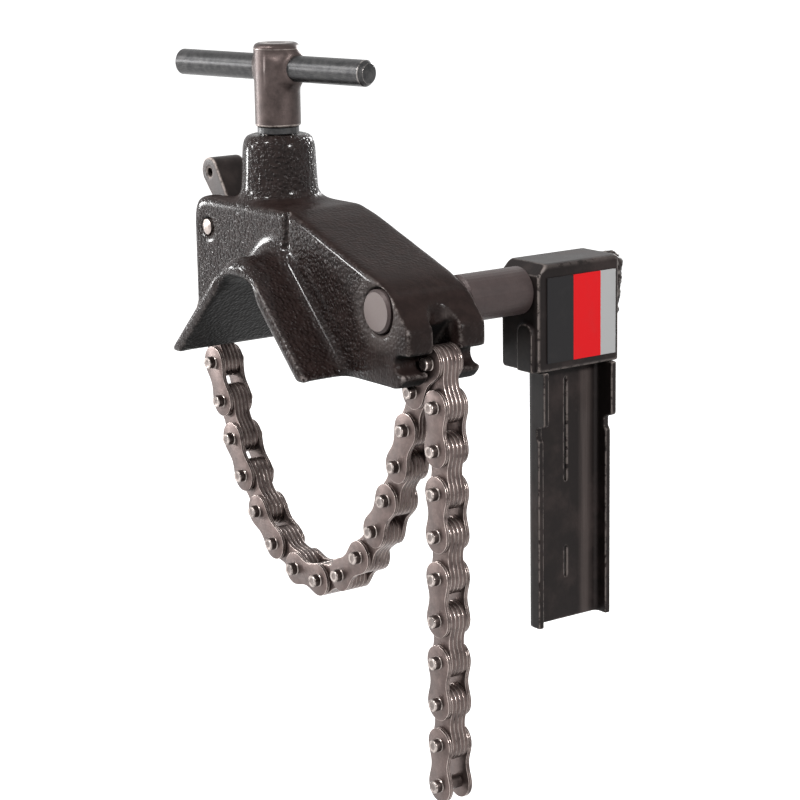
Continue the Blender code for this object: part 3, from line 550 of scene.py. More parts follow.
def read(items: Any, field: str, width: int = 1, kind: type = float) -> Array:
    """Read one field of all vertices, edges, loops or faces of a mesh.

    Args:
        items: The mesh's vertices, edges, loops or polygons.
        field: The field's name.
        width: Numbers in each item's field.
        kind: Type of a number.

    Returns:
        One row for each item, or one number where the width is 1.
    """
    values = np.empty(len(items) * width, dtype=kind)
    items.foreach_get(field, values)
    return values.reshape(-1, width) if width > 1 else values


def store_rims(mesh: bpy.types.Mesh, widest: float = 0.36 * MM) -> None:
    """Store a face attribute that is 1 on narrow quads, which are the bevels, and 0 on the rest.

    A quad's width is its area divided by its longest side.

    Args:
        mesh: The mesh.
        widest: Width below which a quad counts as a bevel, in metres.
    """
    area, sides = read(mesh.polygons, "area"), read(mesh.polygons, "loop_total", kind=int)
    ends, points = read(mesh.edges, "vertices", 2, int), read(mesh.vertices, "co", 3)
    length = np.linalg.norm(points[ends[:, 0]] - points[ends[:, 1]], axis=1)
    starts = np.concatenate([[0], np.cumsum(sides)[:-1]])
    longest = np.maximum.reduceat(length[read(mesh.loops, "edge_index", kind=int)], starts)
    narrow = (area / np.maximum(longest, 1e-9) < widest) & (sides == 4)
    rim = mesh.attributes.new("rim", "FLOAT", "FACE")
    rim.data.foreach_set("value", narrow.astype(np.float32))


def put_mesh(name: str, vertices: Array, faces: Sequence[Sequence[int]], finish: Finish,
             sharp: float = 35.0) -> Any:
    """Make an object at the origin from computed points.

    Args:
        name: The piece's name.
        vertices: Points, one row each, in metres.
        faces: Lists of point numbers.
        finish: The finish.
        sharp: Angle in degrees above which an edge stays sharp.

    Returns:
        The new object.
    """
    mesh = bpy.data.meshes.new(name)
    mesh.from_pydata(vertices.tolist(), [], [list(map(int, face)) for face in faces])
    mesh.validate()
    work = bmesh.new()
    work.from_mesh(mesh)
    bmesh.ops.remove_doubles(work, verts=work.verts, dist=1e-7)
    bmesh.ops.recalc_face_normals(work, faces=work.faces)
    work.to_mesh(mesh)
    work.free()
    mesh.shade_smooth()
    mesh.set_sharp_from_angle(angle=math.radians(sharp))
    store_rims(mesh)
    paint(mesh, finish)
    return add_object(name, mesh)


def grid_faces(rows: int, columns: int) -> Array:
    """Quads of a grid whose points are numbered row by row and whose last column joins the first.

    Args:
        rows: Number of rows.
        columns: Number of points in a row.

    Returns:
        One row of four point numbers for each quad.
    """
    column = np.arange(columns)[None, :]
    start = np.arange(rows - 1)[:, None] * columns
    a, b = start + column, start + (column + 1) % columns
    return np.stack([a, b, b + columns, a + columns], -1).reshape(-1, 4)


def capped_faces(rows: int, columns: int) -> list:
    """Faces of a grid as in grid_faces, with one more over its first row and one over its last.

    Args:
        rows: Number of rows.
        columns: Number of points in a row.

    Returns:
        Lists of point numbers.
    """
    faces = grid_faces(rows, columns).tolist()
    faces.append(list(range(columns))[::-1])
    faces.append(list(range(columns * (rows - 1), columns * rows)))
    return faces


def revolve(profile: Array, centre: Point, axis: Point, sides: int) -> tuple[Array, list]:
    """Turn a profile about an axis.

    A point (r, h) of the profile gives the ring centre + h * axis + r * (cos t * u + sin t * v),
    with u and v square to the axis. End points at r = 0 close the form.

    Args:
        profile: Rows of radius and height.
        centre: Point on the axis at height 0.
        axis: Direction of the axis.
        sides: Points in a ring.

    Returns:
        Points and faces.
    """
    direction = np.array(axis, float) / np.linalg.norm(axis)
    other = np.array([0.0, 0.0, 1.0]) if abs(direction[2]) < 0.9 else np.array([1.0, 0.0, 0.0])
    u = np.cross(direction, other)
    u /= np.linalg.norm(u)
    v = np.cross(direction, u)
    angle = np.linspace(0.0, 2.0 * np.pi, sides, endpoint=False)
    ring = np.cos(angle)[:, None] * u + np.sin(angle)[:, None] * v
    height, radius = profile[:, 1, None, None], profile[:, 0, None, None]
    points = np.array(centre) + height * direction + radius * ring
    return points.reshape(-1, 3), grid_faces(len(profile), sides).tolist()


def arc(centre: Span, radius: float, start: float, end: float, count: int) -> Array:
    """Points of an arc about a centre, with its two angles in degrees."""
    angle = np.radians(np.linspace(start, end, count))
    return np.stack([centre[0] + radius * np.cos(angle), centre[1] + radius * np.sin(angle)], 1)


def prism(outline: Array, low: float, high: float, bevel: float) -> tuple[Array, list]:
    """Extrude an XZ outline along Y, with both rims bevelled.

    Each rim is the outline moved inwards along its own normals by the bevel.

    Args:
        outline: Rows of x and z, counterclockwise.
        low: Lowest y.
        high: Highest y.
        bevel: Width of the bevel.

    Returns:
        Points and faces.
    """
    ahead, behind = np.roll(outline, -1, 0), np.roll(outline, 1, 0)
    tangent = ahead - behind
    tangent /= np.linalg.norm(tangent, axis=1)[:, None]
    normal = np.stack([tangent[:, 1], -tangent[:, 0]], 1)
    inner = outline - normal * bevel
    mid = outline - normal * bevel * 0.3
    rings = [(inner, low), (mid, low + bevel * 0.3), (outline, low + bevel),
             (outline, high - bevel), (mid, high - bevel * 0.3), (inner, high)]
    points = np.concatenate([
        np.stack([ring[:, 0], np.full(len(ring), y), ring[:, 1]], 1) for ring, y in rings])
    return points, capped_faces(len(rings), len(outline))


def merge(parts: Sequence[tuple[Array, list]]) -> tuple[Array, list]:
    """Join several sets of points and faces into one.

    Args:
        parts: The sets.

    Returns:
        Points and faces.
    """
    points, faces, offset = [], [], 0
    for vertices, sides in parts:
        points.append(vertices)
        faces.extend([[index + offset for index in side] for side in sides])
        offset += len(vertices)
    return np.concatenate(points), faces


def normals(points: Array, quads: Array) -> Array:
    """Unit normals of the points of a mesh of quads, each the sum of its quads' crossed diagonals.

    Args:
        points: Points, one row each.
        quads: Rows of four point numbers.

    Returns:
        One normal for each point.
    """
    corners = points[quads]
    across = np.cross(corners[:, 2] - corners[:, 0], corners[:, 3] - corners[:, 1])
    total = np.stack([
        sum(np.bincount(quads[:, corner], across[:, axis], len(points)) for corner in range(4))
        for axis in range(3)], 1)
    return total / np.maximum(np.linalg.norm(total, axis=1), 1e-12)[:, None]


def relax(points: Array, quads: Array, rounds: int, outer: Array, inner: Array) -> Array:
    """Average each point with its neighbours, by one share on outer edges and one in corners.

    Each round moves a point by share * (mean of its neighbours - point). The share is taken from
    inner where that step goes outwards along the normal, as it does in a hollow corner, and else
    from outer. Normals change slowly, so they are worked out again every fourth round.

    Args:
        points: Points, one row each.
        quads: Rows of four point numbers.
        rounds: Number of rounds.
        outer: Share of each point on an outer edge.
        inner: Share of each point in an inner corner.

    Returns:
        The moved points.
    """
    pairs = np.concatenate([quads[:, [k, (k + 1) % 4]] for k in range(4)])
    pairs = np.unique(np.sort(pairs, axis=1), axis=0)
    first, second = pairs[:, 0], pairs[:, 1]
    count = np.bincount(first, minlength=len(points)) + np.bincount(second, minlength=len(points))
    for step in range(rounds):
        if step % 4 == 0:
            out = normals(points, quads)
        total = np.stack([
            np.bincount(first, points[second, axis], len(points))
            + np.bincount(second, points[first, axis], len(points)) for axis in range(3)], 1)
        move = total / count[:, None] - points
        hollow = np.einsum("ij,ij->i", move, out) > 0.0
        points = points + move * np.where(hollow, inner, outer)[:, None]
    return points


def fine_copy(node: str, name: str, finish: Finish, voxel: float) -> tuple[Any, Array, Array]:
    """Copy a CAD node, merge it and resample it on a fine grid of quads.

    Args:
        node: The CAD node.
        name: Name of the new piece.
        finish: The finish.
        voxel: Grid step in metres.

    Returns:
        The new object, its points and its quads.
    """
    source = frame["nodes"][node]
    mesh = source.data.copy()
    work = bmesh.new()
    work.from_mesh(mesh)
    work.transform(source.matrix_world)
    bmesh.ops.remove_doubles(work, verts=work.verts, dist=1e-6)
    work.to_mesh(mesh)
    work.free()
    item = add_object(name, mesh)
    grid = item.modifiers.new("grid", "REMESH")
    grid.mode = "VOXEL"
    grid.voxel_size = voxel
    bpy.context.view_layer.update()
    depsgraph = bpy.context.evaluated_depsgraph_get()
    done = bpy.data.meshes.new_from_object(item.evaluated_get(depsgraph))
    item.modifiers.clear()
    item.data = done
    done.shade_smooth()
    paint(done, finish)
    quads = read(done.loops, "vertex_index", kind=int).reshape(-1, 4)
    return item, read(done.vertices, "co", 3), quads


def put_points(item: Any, points: Array) -> None:
    """Write moved points back to an object's mesh."""
    item.data.vertices.foreach_set("co", points.ravel())
    item.data.update()


def step_between(values: Array, low: float, high: float) -> Array:
    """Step softly from 0 at low to 1 at high, as s * s * (3 - 2 * s)."""
    share = np.clip((values - low) / (high - low), 0.0, 1.0)
    return share * share * (3.0 - 2.0 * share)


def rounded_copy(node: str, name: str, finish: Finish, voxel: float, rounds: int) -> Any:
    """Copy a CAD node and give it soft edges and inner fillets.

    Args:
        node: The CAD node.
        name: Name of the new piece.
        finish: The finish.
        voxel: Grid step in metres.
        rounds: Number of averaging rounds.

    Returns:
        The new object.
    """
    item, points, quads = fine_copy(node, name, finish, voxel)
    share = np.full(len(points), 0.5)
    put_points(item, relax(points, quads, rounds, share, share))
    return item


@dataclass
class CastBody:
    """The saddle casting and the lever's pivot pin."""

    voxel: float = 0.76 * MM
    rounds: int = 66
    crease_x: float = 6.5 * MM
    crease_width: float = 1.05 * MM
    crease_depth: float = 1.5 * MM
    crease_foot: Span = (1.0 * MM, 4.0 * MM)
    crease_head: Span = (23.5 * MM, 25.0 * MM)
    face_inside: Span = (16.0 * MM, 17.1 * MM)
    face_outside: Span = (18.1 * MM, 19.5 * MM)
    plate_y: Span = (33.0 * MM, 35.5 * MM)
    fork_x: Span = (68.0 * MM, 73.0 * MM)
    pocket_y: Span = (12.0 * MM, 16.0 * MM)
    pocket_z: Span = (20.0 * MM, 24.0 * MM)
    crown_y: Span = (17.5 * MM, 20.0 * MM)
    crown_x: Span = (9.0 * MM, 15.0 * MM)
    outer_share: float = 0.24
    crown_share: float = 0.36
    inner_share: float = 0.80
    last_share: float = 0.3

    def crease(self, points: Array) -> Array:
        """Press a vertical groove into both side faces.

        A point of a side face moves inwards by depth * exp(-((x - crease_x) / width)^2), and less
        towards the groove's two ends.

        Args:
            points: Points, one row each.

        Returns:
            The moved points.
        """
        x, y, z = points[:, 0], np.abs(points[:, 1]), points[:, 2]
        share = step_between(y, *self.face_inside) * (1.0 - step_between(y, *self.face_outside))
        share *= step_between(z, *self.crease_foot) * (1.0 - step_between(z, *self.crease_head))
        bell = np.exp(-((x - self.crease_x) / self.crease_width) ** 2)
        moved = points.copy()
        moved[:, 1] -= np.sign(points[:, 1]) * self.crease_depth * bell * share
        return moved

    def build(self) -> None:
        """Round the casting's edges, fill its corners and dress it."""
        skin, points, quads = fine_copy("clamp_body", "cast_body_skin", Finish.HAMMER, self.voxel)
        x, y, z = points[:, 0], np.abs(points[:, 1]), points[:, 2]
        plate = step_between(y, *self.plate_y)
        fork = step_between(x, *self.fork_x)
        inside = (1.0 - step_between(y, *self.pocket_y)) * (1.0 - step_between(z, *self.pocket_z))
        crown = step_between(y, *self.crown_y) * (1.0 - step_between(np.abs(x), *self.crown_x))
        outer = self.outer_share * (1.0 - 0.8 * plate * (1.0 - crown)) * (1.0 - 0.7 * fork)
        outer = outer + self.crown_share * crown
        inner = self.inner_share * (1.0 - 0.88 * inside) * (1.0 - 0.85 * fork)
        points = relax(points, quads, self.rounds, outer, inner)
        last = np.full(len(points), self.last_share)
        put_points(skin, relax(self.crease(points), quads, 2, last, last))
        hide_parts("clamp_body")
        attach(skin, "clamp_frame")
        LOG.info("cast body: %d points", len(points))
        dress("lever_pivot_pin", Finish.BRIGHT)


@dataclass
class TensionLever:
    """The bell crank and the chain's anchor pin."""

    voxel: float = 0.42 * MM
    rounds: int = 5

    def build(self) -> None:
        """Round the lever and dress it."""
        skin = rounded_copy("tension_lever", "tension_lever_skin", Finish.LEVER,
                            self.voxel, self.rounds)
        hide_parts("tension_lever")
        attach(skin, "lever")
        dress("chain_anchor_pin", Finish.PIN)
        LOG.info("tension lever: %d points", len(skin.data.vertices))


@dataclass
class TeeScrew:
    """Threaded spindle with its hub, the washer and the welded tee bar."""

    thread_pitch: float = 1.75 * MM
    thread_depth: float = 0.95 * MM
    thread_start: float = 8.5 * MM
    thread_fade: float = 2.0 * MM
    spindle_radius: float = 6.0 * MM
    spindle_overlap: float = 2.5 * MM
    spindle_sides: int = 48
    row_step: float = 0.25 * MM
    tip_radius: float = 4.55 * MM
    tip_length: float = 6.6 * MM
    tip_cone: float = 1.4 * MM
    hub_radius: float = 8.75 * MM
    hub_rows: int = 70
    hub_sides: int = 96
    hub_lift: float = 0.25 * MM
    foot_round: float = 0.8 * MM
    top_round: float = 2.0 * MM
    bar_radius: float = 5.0 * MM
    bar_cut: float = 1.3 * MM
    bar_rows: int = 40
    bar_sides: int = 56
    bar_turn: float = 12.6
    mouth: float = 2.0 * MM
    right_weld: Span = (2.9 * MM, 2.2 * MM)
    left_weld: Span = (1.5 * MM, 0.9 * MM)

    def centre(self) -> Span:
        """X and y of the screw's axis."""
        low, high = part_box("clamp_screw")
        return (low[0] + high[0]) / 2.0, (low[1] + high[1]) / 2.0

    def bar_axis(self) -> Point:
        """Direction of the bar at rest."""
        turn = math.radians(self.bar_turn)
        return math.cos(turn), math.sin(turn), 0.0

    def spindle(self) -> Any:
        """Make the spindle as one surface of angle and height.

        The radius is the spindle's, less a triangle wave of (height / pitch + angle / turn), which
        winds the thread. The wave fades out at the plain tip and under the hub.

        Returns:
            The spindle piece.
        """
        x, y = self.centre()
        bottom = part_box("clamp_screw")[0][2]
        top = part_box("thrust_washer")[0][2] + self.spindle_overlap
        rows, sides = int((top - bottom) / self.row_step), self.spindle_sides
        height = np.linspace(bottom, top, rows)[:, None]
        angle = np.linspace(0.0, 2.0 * np.pi, sides, endpoint=False)[None, :]
        phase = (height / self.thread_pitch + angle / (2.0 * np.pi)) % 1.0
        wave = 1.0 - np.abs(2.0 * phase - 1.0)
        fade = np.clip((height - bottom - self.thread_start) / self.thread_fade, 0.0, 1.0)
        fade = fade * np.clip((top - height) / MM, 0.0, 1.0)
        cone = np.clip((height - bottom - self.tip_length) / self.tip_cone, 0.0, 1.0)
        radius = self.tip_radius + (self.spindle_radius - self.tip_radius) * cone
        radius = radius - self.thread_depth * wave * fade
        radius = np.broadcast_to(radius, (rows, sides))
        points = np.stack([x + radius * np.cos(angle), y + radius * np.sin(angle),
                           np.broadcast_to(height, (rows, sides))], -1).reshape(-1, 3)
        return put_mesh("screw_spindle", points, capped_faces(rows, sides), Finish.PIN, 50.0)

    def hub(self) -> Any:
        """Make the hub with its weld around the bar.

        The hub is a turned profile with a fine grid. Near the bar's two mouths its skin swells
        outwards by height * exp(-(gap / width)^2), with gap the distance from the bar's surface, so
        that hub and bar flow into each other. right_weld and left_weld hold a width and a height.

        Returns:
            The hub piece.
        """
        x, y = self.centre()
        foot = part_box("thrust_washer")[1][2] + self.hub_lift
        bar_low, bar_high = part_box("tee_bar")
        r, top = self.hub_radius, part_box("clamp_screw")[1][2]
        under, over = self.foot_round, self.top_round
        sleeve = np.linspace(foot + 1.25 * under, top - 1.1 * over, self.hub_rows)
        profile = np.concatenate([
            np.array([[0.0, foot], [r - 1.5 * under, foot]]),
            arc((r - under, foot + under), under, -90.0, 0.0, 5),
            np.stack([np.full(len(sleeve), r), sleeve], 1),
            arc((r - over, top - over), over, 0.0, 78.0, 8),
            np.array([[r * 0.72, top - 0.02 * MM], [r * 0.4, top], [0.0, top]]),
        ])
        points, faces = revolve(profile, (x, y, 0.0), (0.0, 0.0, 1.0), self.hub_sides)
        along = np.array(self.bar_axis())
        rel = points - np.array([x, y, (bar_low[2] + bar_high[2]) / 2.0])
        run = rel @ along
        off = rel - run[:, None] * along
        gap = np.maximum(np.linalg.norm(off, axis=1) - self.bar_radius, 0.0)
        around = np.arctan2(off[:, 2], off[:, 1])
        ripple = 1.0 + 0.16 * np.sin(6.0 * around) + 0.1 * np.sin(11.0 * around + 1.0)
        outward = rel * np.array([1.0, 1.0, 0.0])
        length = np.linalg.norm(outward, axis=1)
        outward = outward / np.maximum(length, 1e-6)[:, None]
        rise = np.zeros(len(points))
        welds = ((self.right_weld, ripple, 1.0), (self.left_weld, 1.0, -1.0))
        for (width, height), share, side in welds:
            rise += height * np.exp(-gap ** 2 / width ** 2 * share) * (side * run > self.mouth)
        points = points + outward * (rise * (length > r * 0.6))[:, None]
        points[:, 2] = np.minimum(points[:, 2], top)
        return put_mesh("screw_hub", points, faces, Finish.HUB, 60.0)

    def bar(self) -> Any:
        """Make the bar as a turned profile with two chamfered ends.

        Returns:
            The bar piece.
        """
        low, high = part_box("tee_bar")
        x, y = self.centre()
        axis = self.bar_axis()
        r, cut = self.bar_radius, self.bar_cut
        right = (high[0] - x - r * axis[1]) / axis[0]
        left = (low[0] - x + r * axis[1]) / axis[0]
        sleeve = np.linspace(left + 2.0 * MM, right - 2.0 * MM, self.bar_rows)
        profile = np.concatenate([
            np.array([[0.0, left], [r - cut, left], [r - cut * 0.9, left + 0.06 * MM]]),
            np.array([[r - 0.12 * MM, left + cut * 0.9], [r, left + cut]]),
            np.stack([np.full(len(sleeve), r), sleeve], 1),
            np.array([[r, right - cut * 1.3], [r - 0.12 * MM, right - cut * 1.15]]),
            np.array([[r - cut * 0.9, right - 0.06 * MM], [r - cut, right], [0.0, right]]),
        ])
        middle = (x, y, (low[2] + high[2]) / 2.0)
        points, faces = revolve(profile, middle, axis, self.bar_sides)
        return put_mesh("tee_bar_skin", points, faces, Finish.BAR, 30.0)

    def build(self) -> None:
        """Make the screw's pieces."""
        spindle, hub, bar = self.spindle(), self.hub(), self.bar()
        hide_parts("clamp_screw")
        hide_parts("clamp_screw")
        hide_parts("tee_bar")
        slots = ((spindle, "warm_steel"), (hub, "warm_steel"), (bar, "phosphated_steel"))
        for piece, slot in slots:
            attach(piece, "tee_screw")
        dress("thrust_washer", Finish.BAR)
        LOG.info("tee screw: 3 pieces")


@dataclass
class LeafChain:
    """Links of the loop and the tail, with laminated inner links and pinned outer links."""

    pitch: float = 15.875 * MM
    half_height: float = 6.35 * MM
    waist: float = 4.7 * MM
    stack_half: float = 3.45 * MM
    leaves: int = 4
    leaf_gap: float = 0.16 * MM
    outer_low: float = 3.57 * MM
    outer_high: float = 5.27 * MM
    outer_gap: float = 0.12 * MM
    pin_radius: float = 2.38 * MM
    pin_half: float = 8.2 * MM
    bevel: float = 0.16 * MM
    end_points: int = 19
    waist_points: int = 15
    pin_sides: int = 28
    loop_links: int = 16
    tail_links: int = 10
    open_pin: int = 9

    def outline(self) -> Array:
        """Counterclockwise outline of a leaf: two round ends joined by a waist.

        The waist's half height is waist + (end - waist) * cos^2 of the share of the run, so it
        leaves each end smoothly.

        Returns:
            Rows of x and z.
        """
        right = arc((self.pitch, 0.0), self.half_height, -90.0, 90.0, self.end_points)
        left = arc((0.0, 0.0), self.half_height, 90.0, 270.0, self.end_points)
        share = np.linspace(0.0, 1.0, self.waist_points)[1:-1]
        half = self.waist + (self.half_height - self.waist) * np.cos(np.pi * share) ** 2
        top = np.stack([self.pitch * (1.0 - share), half], 1)
        bottom = np.stack([self.pitch * share, -half[::-1]], 1)
        return np.concatenate([right, top, left, bottom])

    def inner_link(self) -> tuple[Array, list]:
        """Stack thin leaves with hair gaps.

        Returns:
            Points and faces.
        """
        outline = self.outline()
        step = (2.0 * self.stack_half + self.leaf_gap) / self.leaves
        lows = [-self.stack_half + k * step for k in range(self.leaves)]
        return merge([prism(outline, low, low + step - self.leaf_gap, self.bevel) for low in lows])

    def outer_link(self) -> tuple[Array, list]:
        """Set two leaves on each side.

        Returns:
            Points and faces.
        """
        outline = self.outline()
        middle = (self.outer_low + self.outer_high) / 2.0
        pieces = []
        for sign in (-1.0, 1.0):
            for near, far in ((self.outer_low, middle - self.outer_gap / 2.0),
                              (middle + self.outer_gap / 2.0, self.outer_high)):
                low, high = sorted((sign * near, sign * far))
                pieces.append(prism(outline, low, high, self.bevel * 0.8))
        return merge(pieces)

    def pins(self) -> tuple[Array, list]:
        """Turn two pins with a shoulder at each outer leaf and dished, chamfered ends.

        Returns:
            Points and faces.
        """
        r, h = self.pin_radius, self.pin_half
        half = np.array([
            [0.0, h - 0.12 * MM], [r * 0.55, h - 0.1 * MM], [r * 0.72, h], [r - 0.3 * MM, h],
            [r - 0.05 * MM, h - 0.25 * MM], [r, h - 0.5 * MM], [r, self.outer_high + 0.3 * MM],
            [r + 0.22 * MM, self.outer_high + 0.02 * MM],
        ])
        profile = np.concatenate([half, half[::-1] * np.array([1.0, -1.0])])
        return merge([revolve(profile, (x, 0.0, 0.0), (0.0, 1.0, 0.0), self.pin_sides)
                      for x in (0.0, self.pitch)])

    def set_at(self, shape: tuple[Array, list], start: Array, end: Array) -> tuple[Array, list]:
        """Turn and move a link so that it runs from start to end.

        Args:
            shape: Points and faces of a link along +X.
            start: Centre of the first pin.
            end: Centre of the second pin.

        Returns:
            Points in the part's frame, and the faces.
        """
        run = (end - start) / np.linalg.norm(end - start)
        up = np.array([-run[2], 0.0, run[0]])
        return shape[0] @ np.array([run, [0.0, 1.0, 0.0], up]) + start, shape[1]

    def lowest_pin(self, before: Array, after: Array) -> Array:
        """Place the pin at which the loop is open, one pitch from each neighbour and below them.

        It is the middle of the neighbours plus sqrt(pitch^2 - (distance / 2)^2) square to their
        line.

        Args:
            before: Centre of the pin on the hook's side.
            after: Centre of the pin on the lever's side.

        Returns:
            Centre of the lowest pin.
        """
        line = after - before
        distance = np.linalg.norm(line)
        square = np.array([-line[2], 0.0, line[0]]) / distance
        reach = np.sqrt(max(self.pitch ** 2 - (distance / 2.0) ** 2, 0.0))
        return (before + after) / 2.0 + square * reach

    def stations(self) -> dict[str, list[Array]]:
        """Collect the pin centres of both runs in order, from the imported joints.

        Returns:
            The centres of the loop's and of the tail's pins.
        """
        places = {joint["name"]: np.array(joint["pos_m"])
                  for joint in frame["joints"] if "pos_m" in joint}
        runs = {}
        for run in ("loop", "tail"):
            numbers = sorted(int(name[-2:]) for name in places if name.startswith(run + "_joint_"))
            runs[run] = {number: places["%s_joint_%02d" % (run, number)] for number in numbers}
        loop, tail, last = runs["loop"], runs["tail"], self.tail_links
        loop[self.open_pin] = self.lowest_pin(loop[self.open_pin - 1], loop[self.open_pin + 1])
        tail[last + 1] = tail[last] + np.array([0.0, 0.0, -self.pitch])
        return {run: [pins[number] for number in sorted(pins)] for run, pins in runs.items()}

    def build(self) -> None:
        """Make every link between its two pins."""
        inner, outer, pins = self.inner_link(), self.outer_link(), self.pins()
        stations = self.stations()
        for run, count, pinned in (("loop", self.loop_links, 1), ("tail", self.tail_links, 0)):
            for number in range(1, count + 1):
                start, end = stations[run][number - 1], stations[run][number]
                node = "%s_link_%02d" % (run, number)
                body = "%s_%02d" % (run, number)
                has_pins = number % 2 == pinned
                shape = outer if has_pins else inner
                leaves = self.set_at(shape, start, end)
                pieces = [put_mesh(node + "_leaves", *leaves, Finish.PLATE)]
                if has_pins:
                    pair = self.set_at(pins, start, end)
                    pieces.append(put_mesh(node + "_pins", *pair, Finish.PIN))
                for piece in pieces:
                    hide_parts(node)
                    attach(piece, body)
            LOG.info("%s: %d links", run, count)


@dataclass
class SawArm:
    """Shaft, head block, channel, label plate and weld."""

    voxel: float = 0.5 * MM
    rounds: int = 4
    bead_radius: float = 2.9 * MM
    slot_y: float = 67.75 * MM
    slot_half: float = 0.8 * MM
    slot_close: float = 0.36 * MM
    channel_voxel: float = 0.36 * MM
    weld_rows: int = 120
    weld_sides: int = 32
    weld_smooth: int = 6
    weld_phase: float = 0.4

    def weld(self, path: Array) -> Any:
        """Make the head's weld bead along a path.

        The bead is a tube about the smoothed path. Its radius is bead_radius * (1 + low lumps of
        the run and the angle), and the lumps have unequal lengths, so it looks laid by hand.

        Args:
            path: Rows of points.

        Returns:
            The bead piece.
        """
        rows, sides = self.weld_rows, self.weld_sides
        share = np.linspace(0.0, 1.0, rows)
        knots = np.linspace(0.0, 1.0, len(path))
        centre = np.stack([np.interp(share, knots, path[:, k]) for k in range(3)], 1)
        weights = np.array([1.0, 4.0, 6.0, 4.0, 1.0]) / 16.0
        for _ in range(self.weld_smooth):
            padded = np.pad(centre, ((2, 2), (0, 0)), mode="edge")
            centre = sum(weights[k] * padded[k:k + rows] for k in range(5))
        tangent = np.gradient(centre, axis=0)
        tangent /= np.linalg.norm(tangent, axis=1)[:, None]
        u = np.cross(tangent, np.array([0.0, 1.0, 0.0]))
        u /= np.linalg.norm(u, axis=1)[:, None]
        v = np.cross(tangent, u)
        angle = np.linspace(0.0, 2.0 * np.pi, sides, endpoint=False)[None, :]
        run, seed = share[:, None], self.weld_phase
        lumps = (0.11 * np.sin(17.0 * run + 3.0 * np.sin(5.0 * run) + seed)
                 + 0.08 * np.sin(31.0 * run + 2.0 * angle + 2.0 * np.sin(9.0 * run))
                 + 0.07 * np.sin(3.0 * angle + 12.0 * run + seed)
                 + 0.04 * np.sin(57.0 * run - 4.0 * angle)
                 + 0.03 * np.sin(90.0 * run + 7.0 * angle + seed))
        ends = np.sqrt(np.clip(1.0 - np.abs(2.0 * share - 1.0) ** 6, 0.015, 1.0))[:, None]
        radius = self.bead_radius * (1.0 + lumps) * ends
        ring = (np.cos(angle)[..., None] * u[:, None, :]
                + np.sin(angle)[..., None] * v[:, None, :])
        points = centre[:, None, :] + radius[..., None] * ring
        return put_mesh("head_weld", points.reshape(-1, 3), capped_faces(rows, sides),
                        Finish.WELD, 180.0)

    def narrow_slots(self, channel: Any) -> Array:
        """Draw the walls of the web's two slots together, as the thick paint in them does.

        A point at the distance d from the slot's middle plane moves towards it by
        close * (d / half) up to the wall at half, and by a share that fades to nothing at three
        times half.

        Args:
            channel: The channel piece.

        Returns:
            The moved points.
        """
        points, half = read(channel.data.vertices, "co", 3), self.slot_half
        off = points[:, 1] - self.slot_y
        share = np.minimum(np.abs(off) / half, 1.0)
        share = share * (1.0 - step_between(np.abs(off), half * 1.1, half * 3.0))
        points[:, 1] -= np.sign(off) * self.slot_close * share
        return points

    def build(self) -> None:
        """Round the arm's plates and add its weld."""
        head = rounded_copy("head_block", "head_block_skin", Finish.SATIN, self.voxel, self.rounds)
        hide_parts("head_block")
        channel = rounded_copy("saw_channel", "saw_channel_skin", Finish.CHANNEL,
                               self.channel_voxel, self.rounds)
        put_points(channel, self.narrow_slots(channel))
        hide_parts("saw_channel")
        low, high = (np.array(corner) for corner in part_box("weld_bead"))
        middle = (low + high) / 2.0
        reach = self.bead_radius
        run = np.array([[low[0] + reach, middle[1] - 0.3 * reach, high[2] - 1.15 * reach],
                        [middle[0] + 0.2 * reach, middle[1], high[2] - 1.1 * reach],
                        [high[0] - 1.25 * reach, middle[1] - 0.1 * reach, high[2] - 1.5 * reach],
                        [high[0] - 1.2 * reach, middle[1] - 0.3 * reach, high[2] - 4.0 * reach],
                        [high[0] - 1.6 * reach, middle[1] - 0.5 * reach, high[2] - 7.0 * reach],
                        [high[0] - 1.9 * reach, middle[1] - 0.6 * reach, high[2] - 9.5 * reach]])
        bead = self.weld(run)
        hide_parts("weld_bead")
        for piece in (head, channel, bead):
            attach(piece, "saw_arm")
        dress("swing_shaft", Finish.SHAFT)
        dress("label_plate", Finish.LABEL)
        LOG.info("saw arm: head, channel and weld")


@dataclass(frozen=True)
class Lamp:
    """One soft round area lamp: where it stands, what it points at, its width and its watts."""

    name: str
    place: Point
    target: Point
    size: float
    power: float

    def light(self) -> None:
        """Add the lamp to the scene."""
        data = bpy.data.lights.new(self.name, "AREA")
        data.shape = "DISK"
        data.size = self.size
        data.energy = self.power
        item = add_object(self.name, data)
        item.location = self.place
        aim = Vector(self.target) - Vector(self.place)
        item.rotation_euler = aim.to_track_quat("-Z", "Y").to_euler()


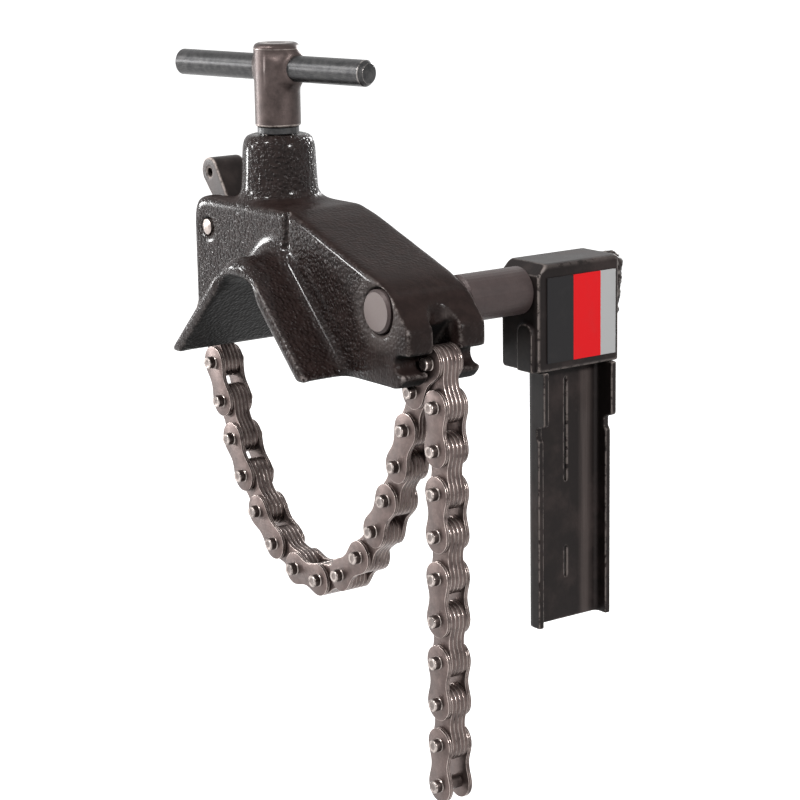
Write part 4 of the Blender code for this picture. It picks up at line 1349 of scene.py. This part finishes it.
@dataclass
class Studio:
    """Camera, lamps, world and floor."""

    focal_pixels: float = 2500.0
    frame_pixels: float = 800.0
    sensor: float = 36.0
    azimuth: float = 53.4
    elevation: float = 14.8
    roll: float = 0.6
    eye: Point = (0.7647, -0.5276, 0.1916)
    shaft: Point = (0.064, 0.0, -0.005)
    lean: float = 2.5
    floor_z: float = -0.30
    floor_half: float = 6.0
    hidden_level: float = 0.22
    lamps: tuple[Lamp, ...] = (
        Lamp("front", (-0.80, -0.95, 0.22), (0.0, 0.0, -0.02), 0.16, 8.0),
        Lamp("front_low", (-1.05, -0.55, -0.02), (0.0, 0.0, -0.02), 0.16, 5.0),
        Lamp("front_high", (-0.50, -0.80, 0.62), (0.0, 0.0, -0.02), 0.16, 5.0),
        Lamp("high", (0.05, -0.75, 0.80), (0.0, 0.0, -0.02), 0.16, 9.0),
        Lamp("right", (1.05, 0.05, 0.45), (0.03, 0.02, -0.03), 0.18, 10.0),
        Lamp("rim", (-0.45, 1.0, 0.30), (0.0, 0.0, 0.02), 0.25, 8.0),
    )

    def camera(self) -> None:
        """Place the camera at the fitted view.

        The camera is turned about the shaft's axis by half of the body's lean in the photograph.
        """
        data = bpy.data.cameras.new("view")
        data.sensor_width = self.sensor
        data.lens = self.sensor * self.focal_pixels / self.frame_pixels
        data.clip_start = 0.01
        item = add_object("view", data)
        az, el = math.radians(self.azimuth), math.radians(self.elevation)
        look = Vector((-math.sin(az) * math.cos(el), math.cos(az) * math.cos(el), -math.sin(el)))
        right = look.cross(Vector((0.0, 0.0, 1.0))).normalized()
        up = right.cross(look)
        roll = math.radians(self.roll)
        across = right * math.cos(roll) + up * math.sin(roll)
        upright = up * math.cos(roll) - right * math.sin(roll)
        basis = Matrix((across, upright, -look)).transposed().to_4x4()
        pose = Matrix.Translation(self.eye) @ basis
        centre = Matrix.Translation(self.shaft)
        turn = centre @ Matrix.Rotation(math.radians(self.lean), 4, "Y") @ centre.inverted()
        item.matrix_world = turn @ pose
        bpy.context.scene.camera = item

    def surroundings(self) -> None:
        """Set the world and the floor.

        The world is white to camera, glossy and transmission rays and grey to others.
        """
        world = bpy.data.worlds.new("studio")
        bpy.context.scene.world = world
        g = Graph(world)
        g.tree.nodes.remove(g.tree.nodes["Background"])
        hidden, white = (
            g.node("ShaderNodeBackground", {}, {"Color": (1.0, 1.0, 1.0), "Strength": level})
            for level in (self.hidden_level, 1.0))
        blend = g.node("ShaderNodeMixShader", {}, {0: g.seen(), 1: hidden, 2: white})
        g.fill(g.tree.nodes["World Output"], {"Surface": blend})
        corners = [(x * self.floor_half, y * self.floor_half, self.floor_z)
                   for x, y in ((-1.0, -1.0), (1.0, -1.0), (1.0, 1.0), (-1.0, 1.0))]
        mesh = bpy.data.meshes.new("floor")
        mesh.from_pydata(corners, [], [[0, 1, 2, 3]])
        mesh.materials.append(PaleStage().build())
        add_object("floor", mesh)

    def build(self) -> None:
        """Set the stage."""
        self.camera()
        for lamp in self.lamps:
            lamp.light()
        self.surroundings()
        bpy.context.scene.view_settings.view_transform = "Standard"
        LOG.info("studio ready")


def main() -> None:
    """Build the looks in order."""
    logging.basicConfig(level=logging.INFO, format="%(name)s: %(message)s")
    for finish in Finish:
        MATERIALS[finish] = finish.value.build()
    CastBody().build()
    TensionLever().build()
    TeeScrew().build()
    LeafChain().build()
    SawArm().build()
    Studio().build()


if __name__ == "__main__":
    main()
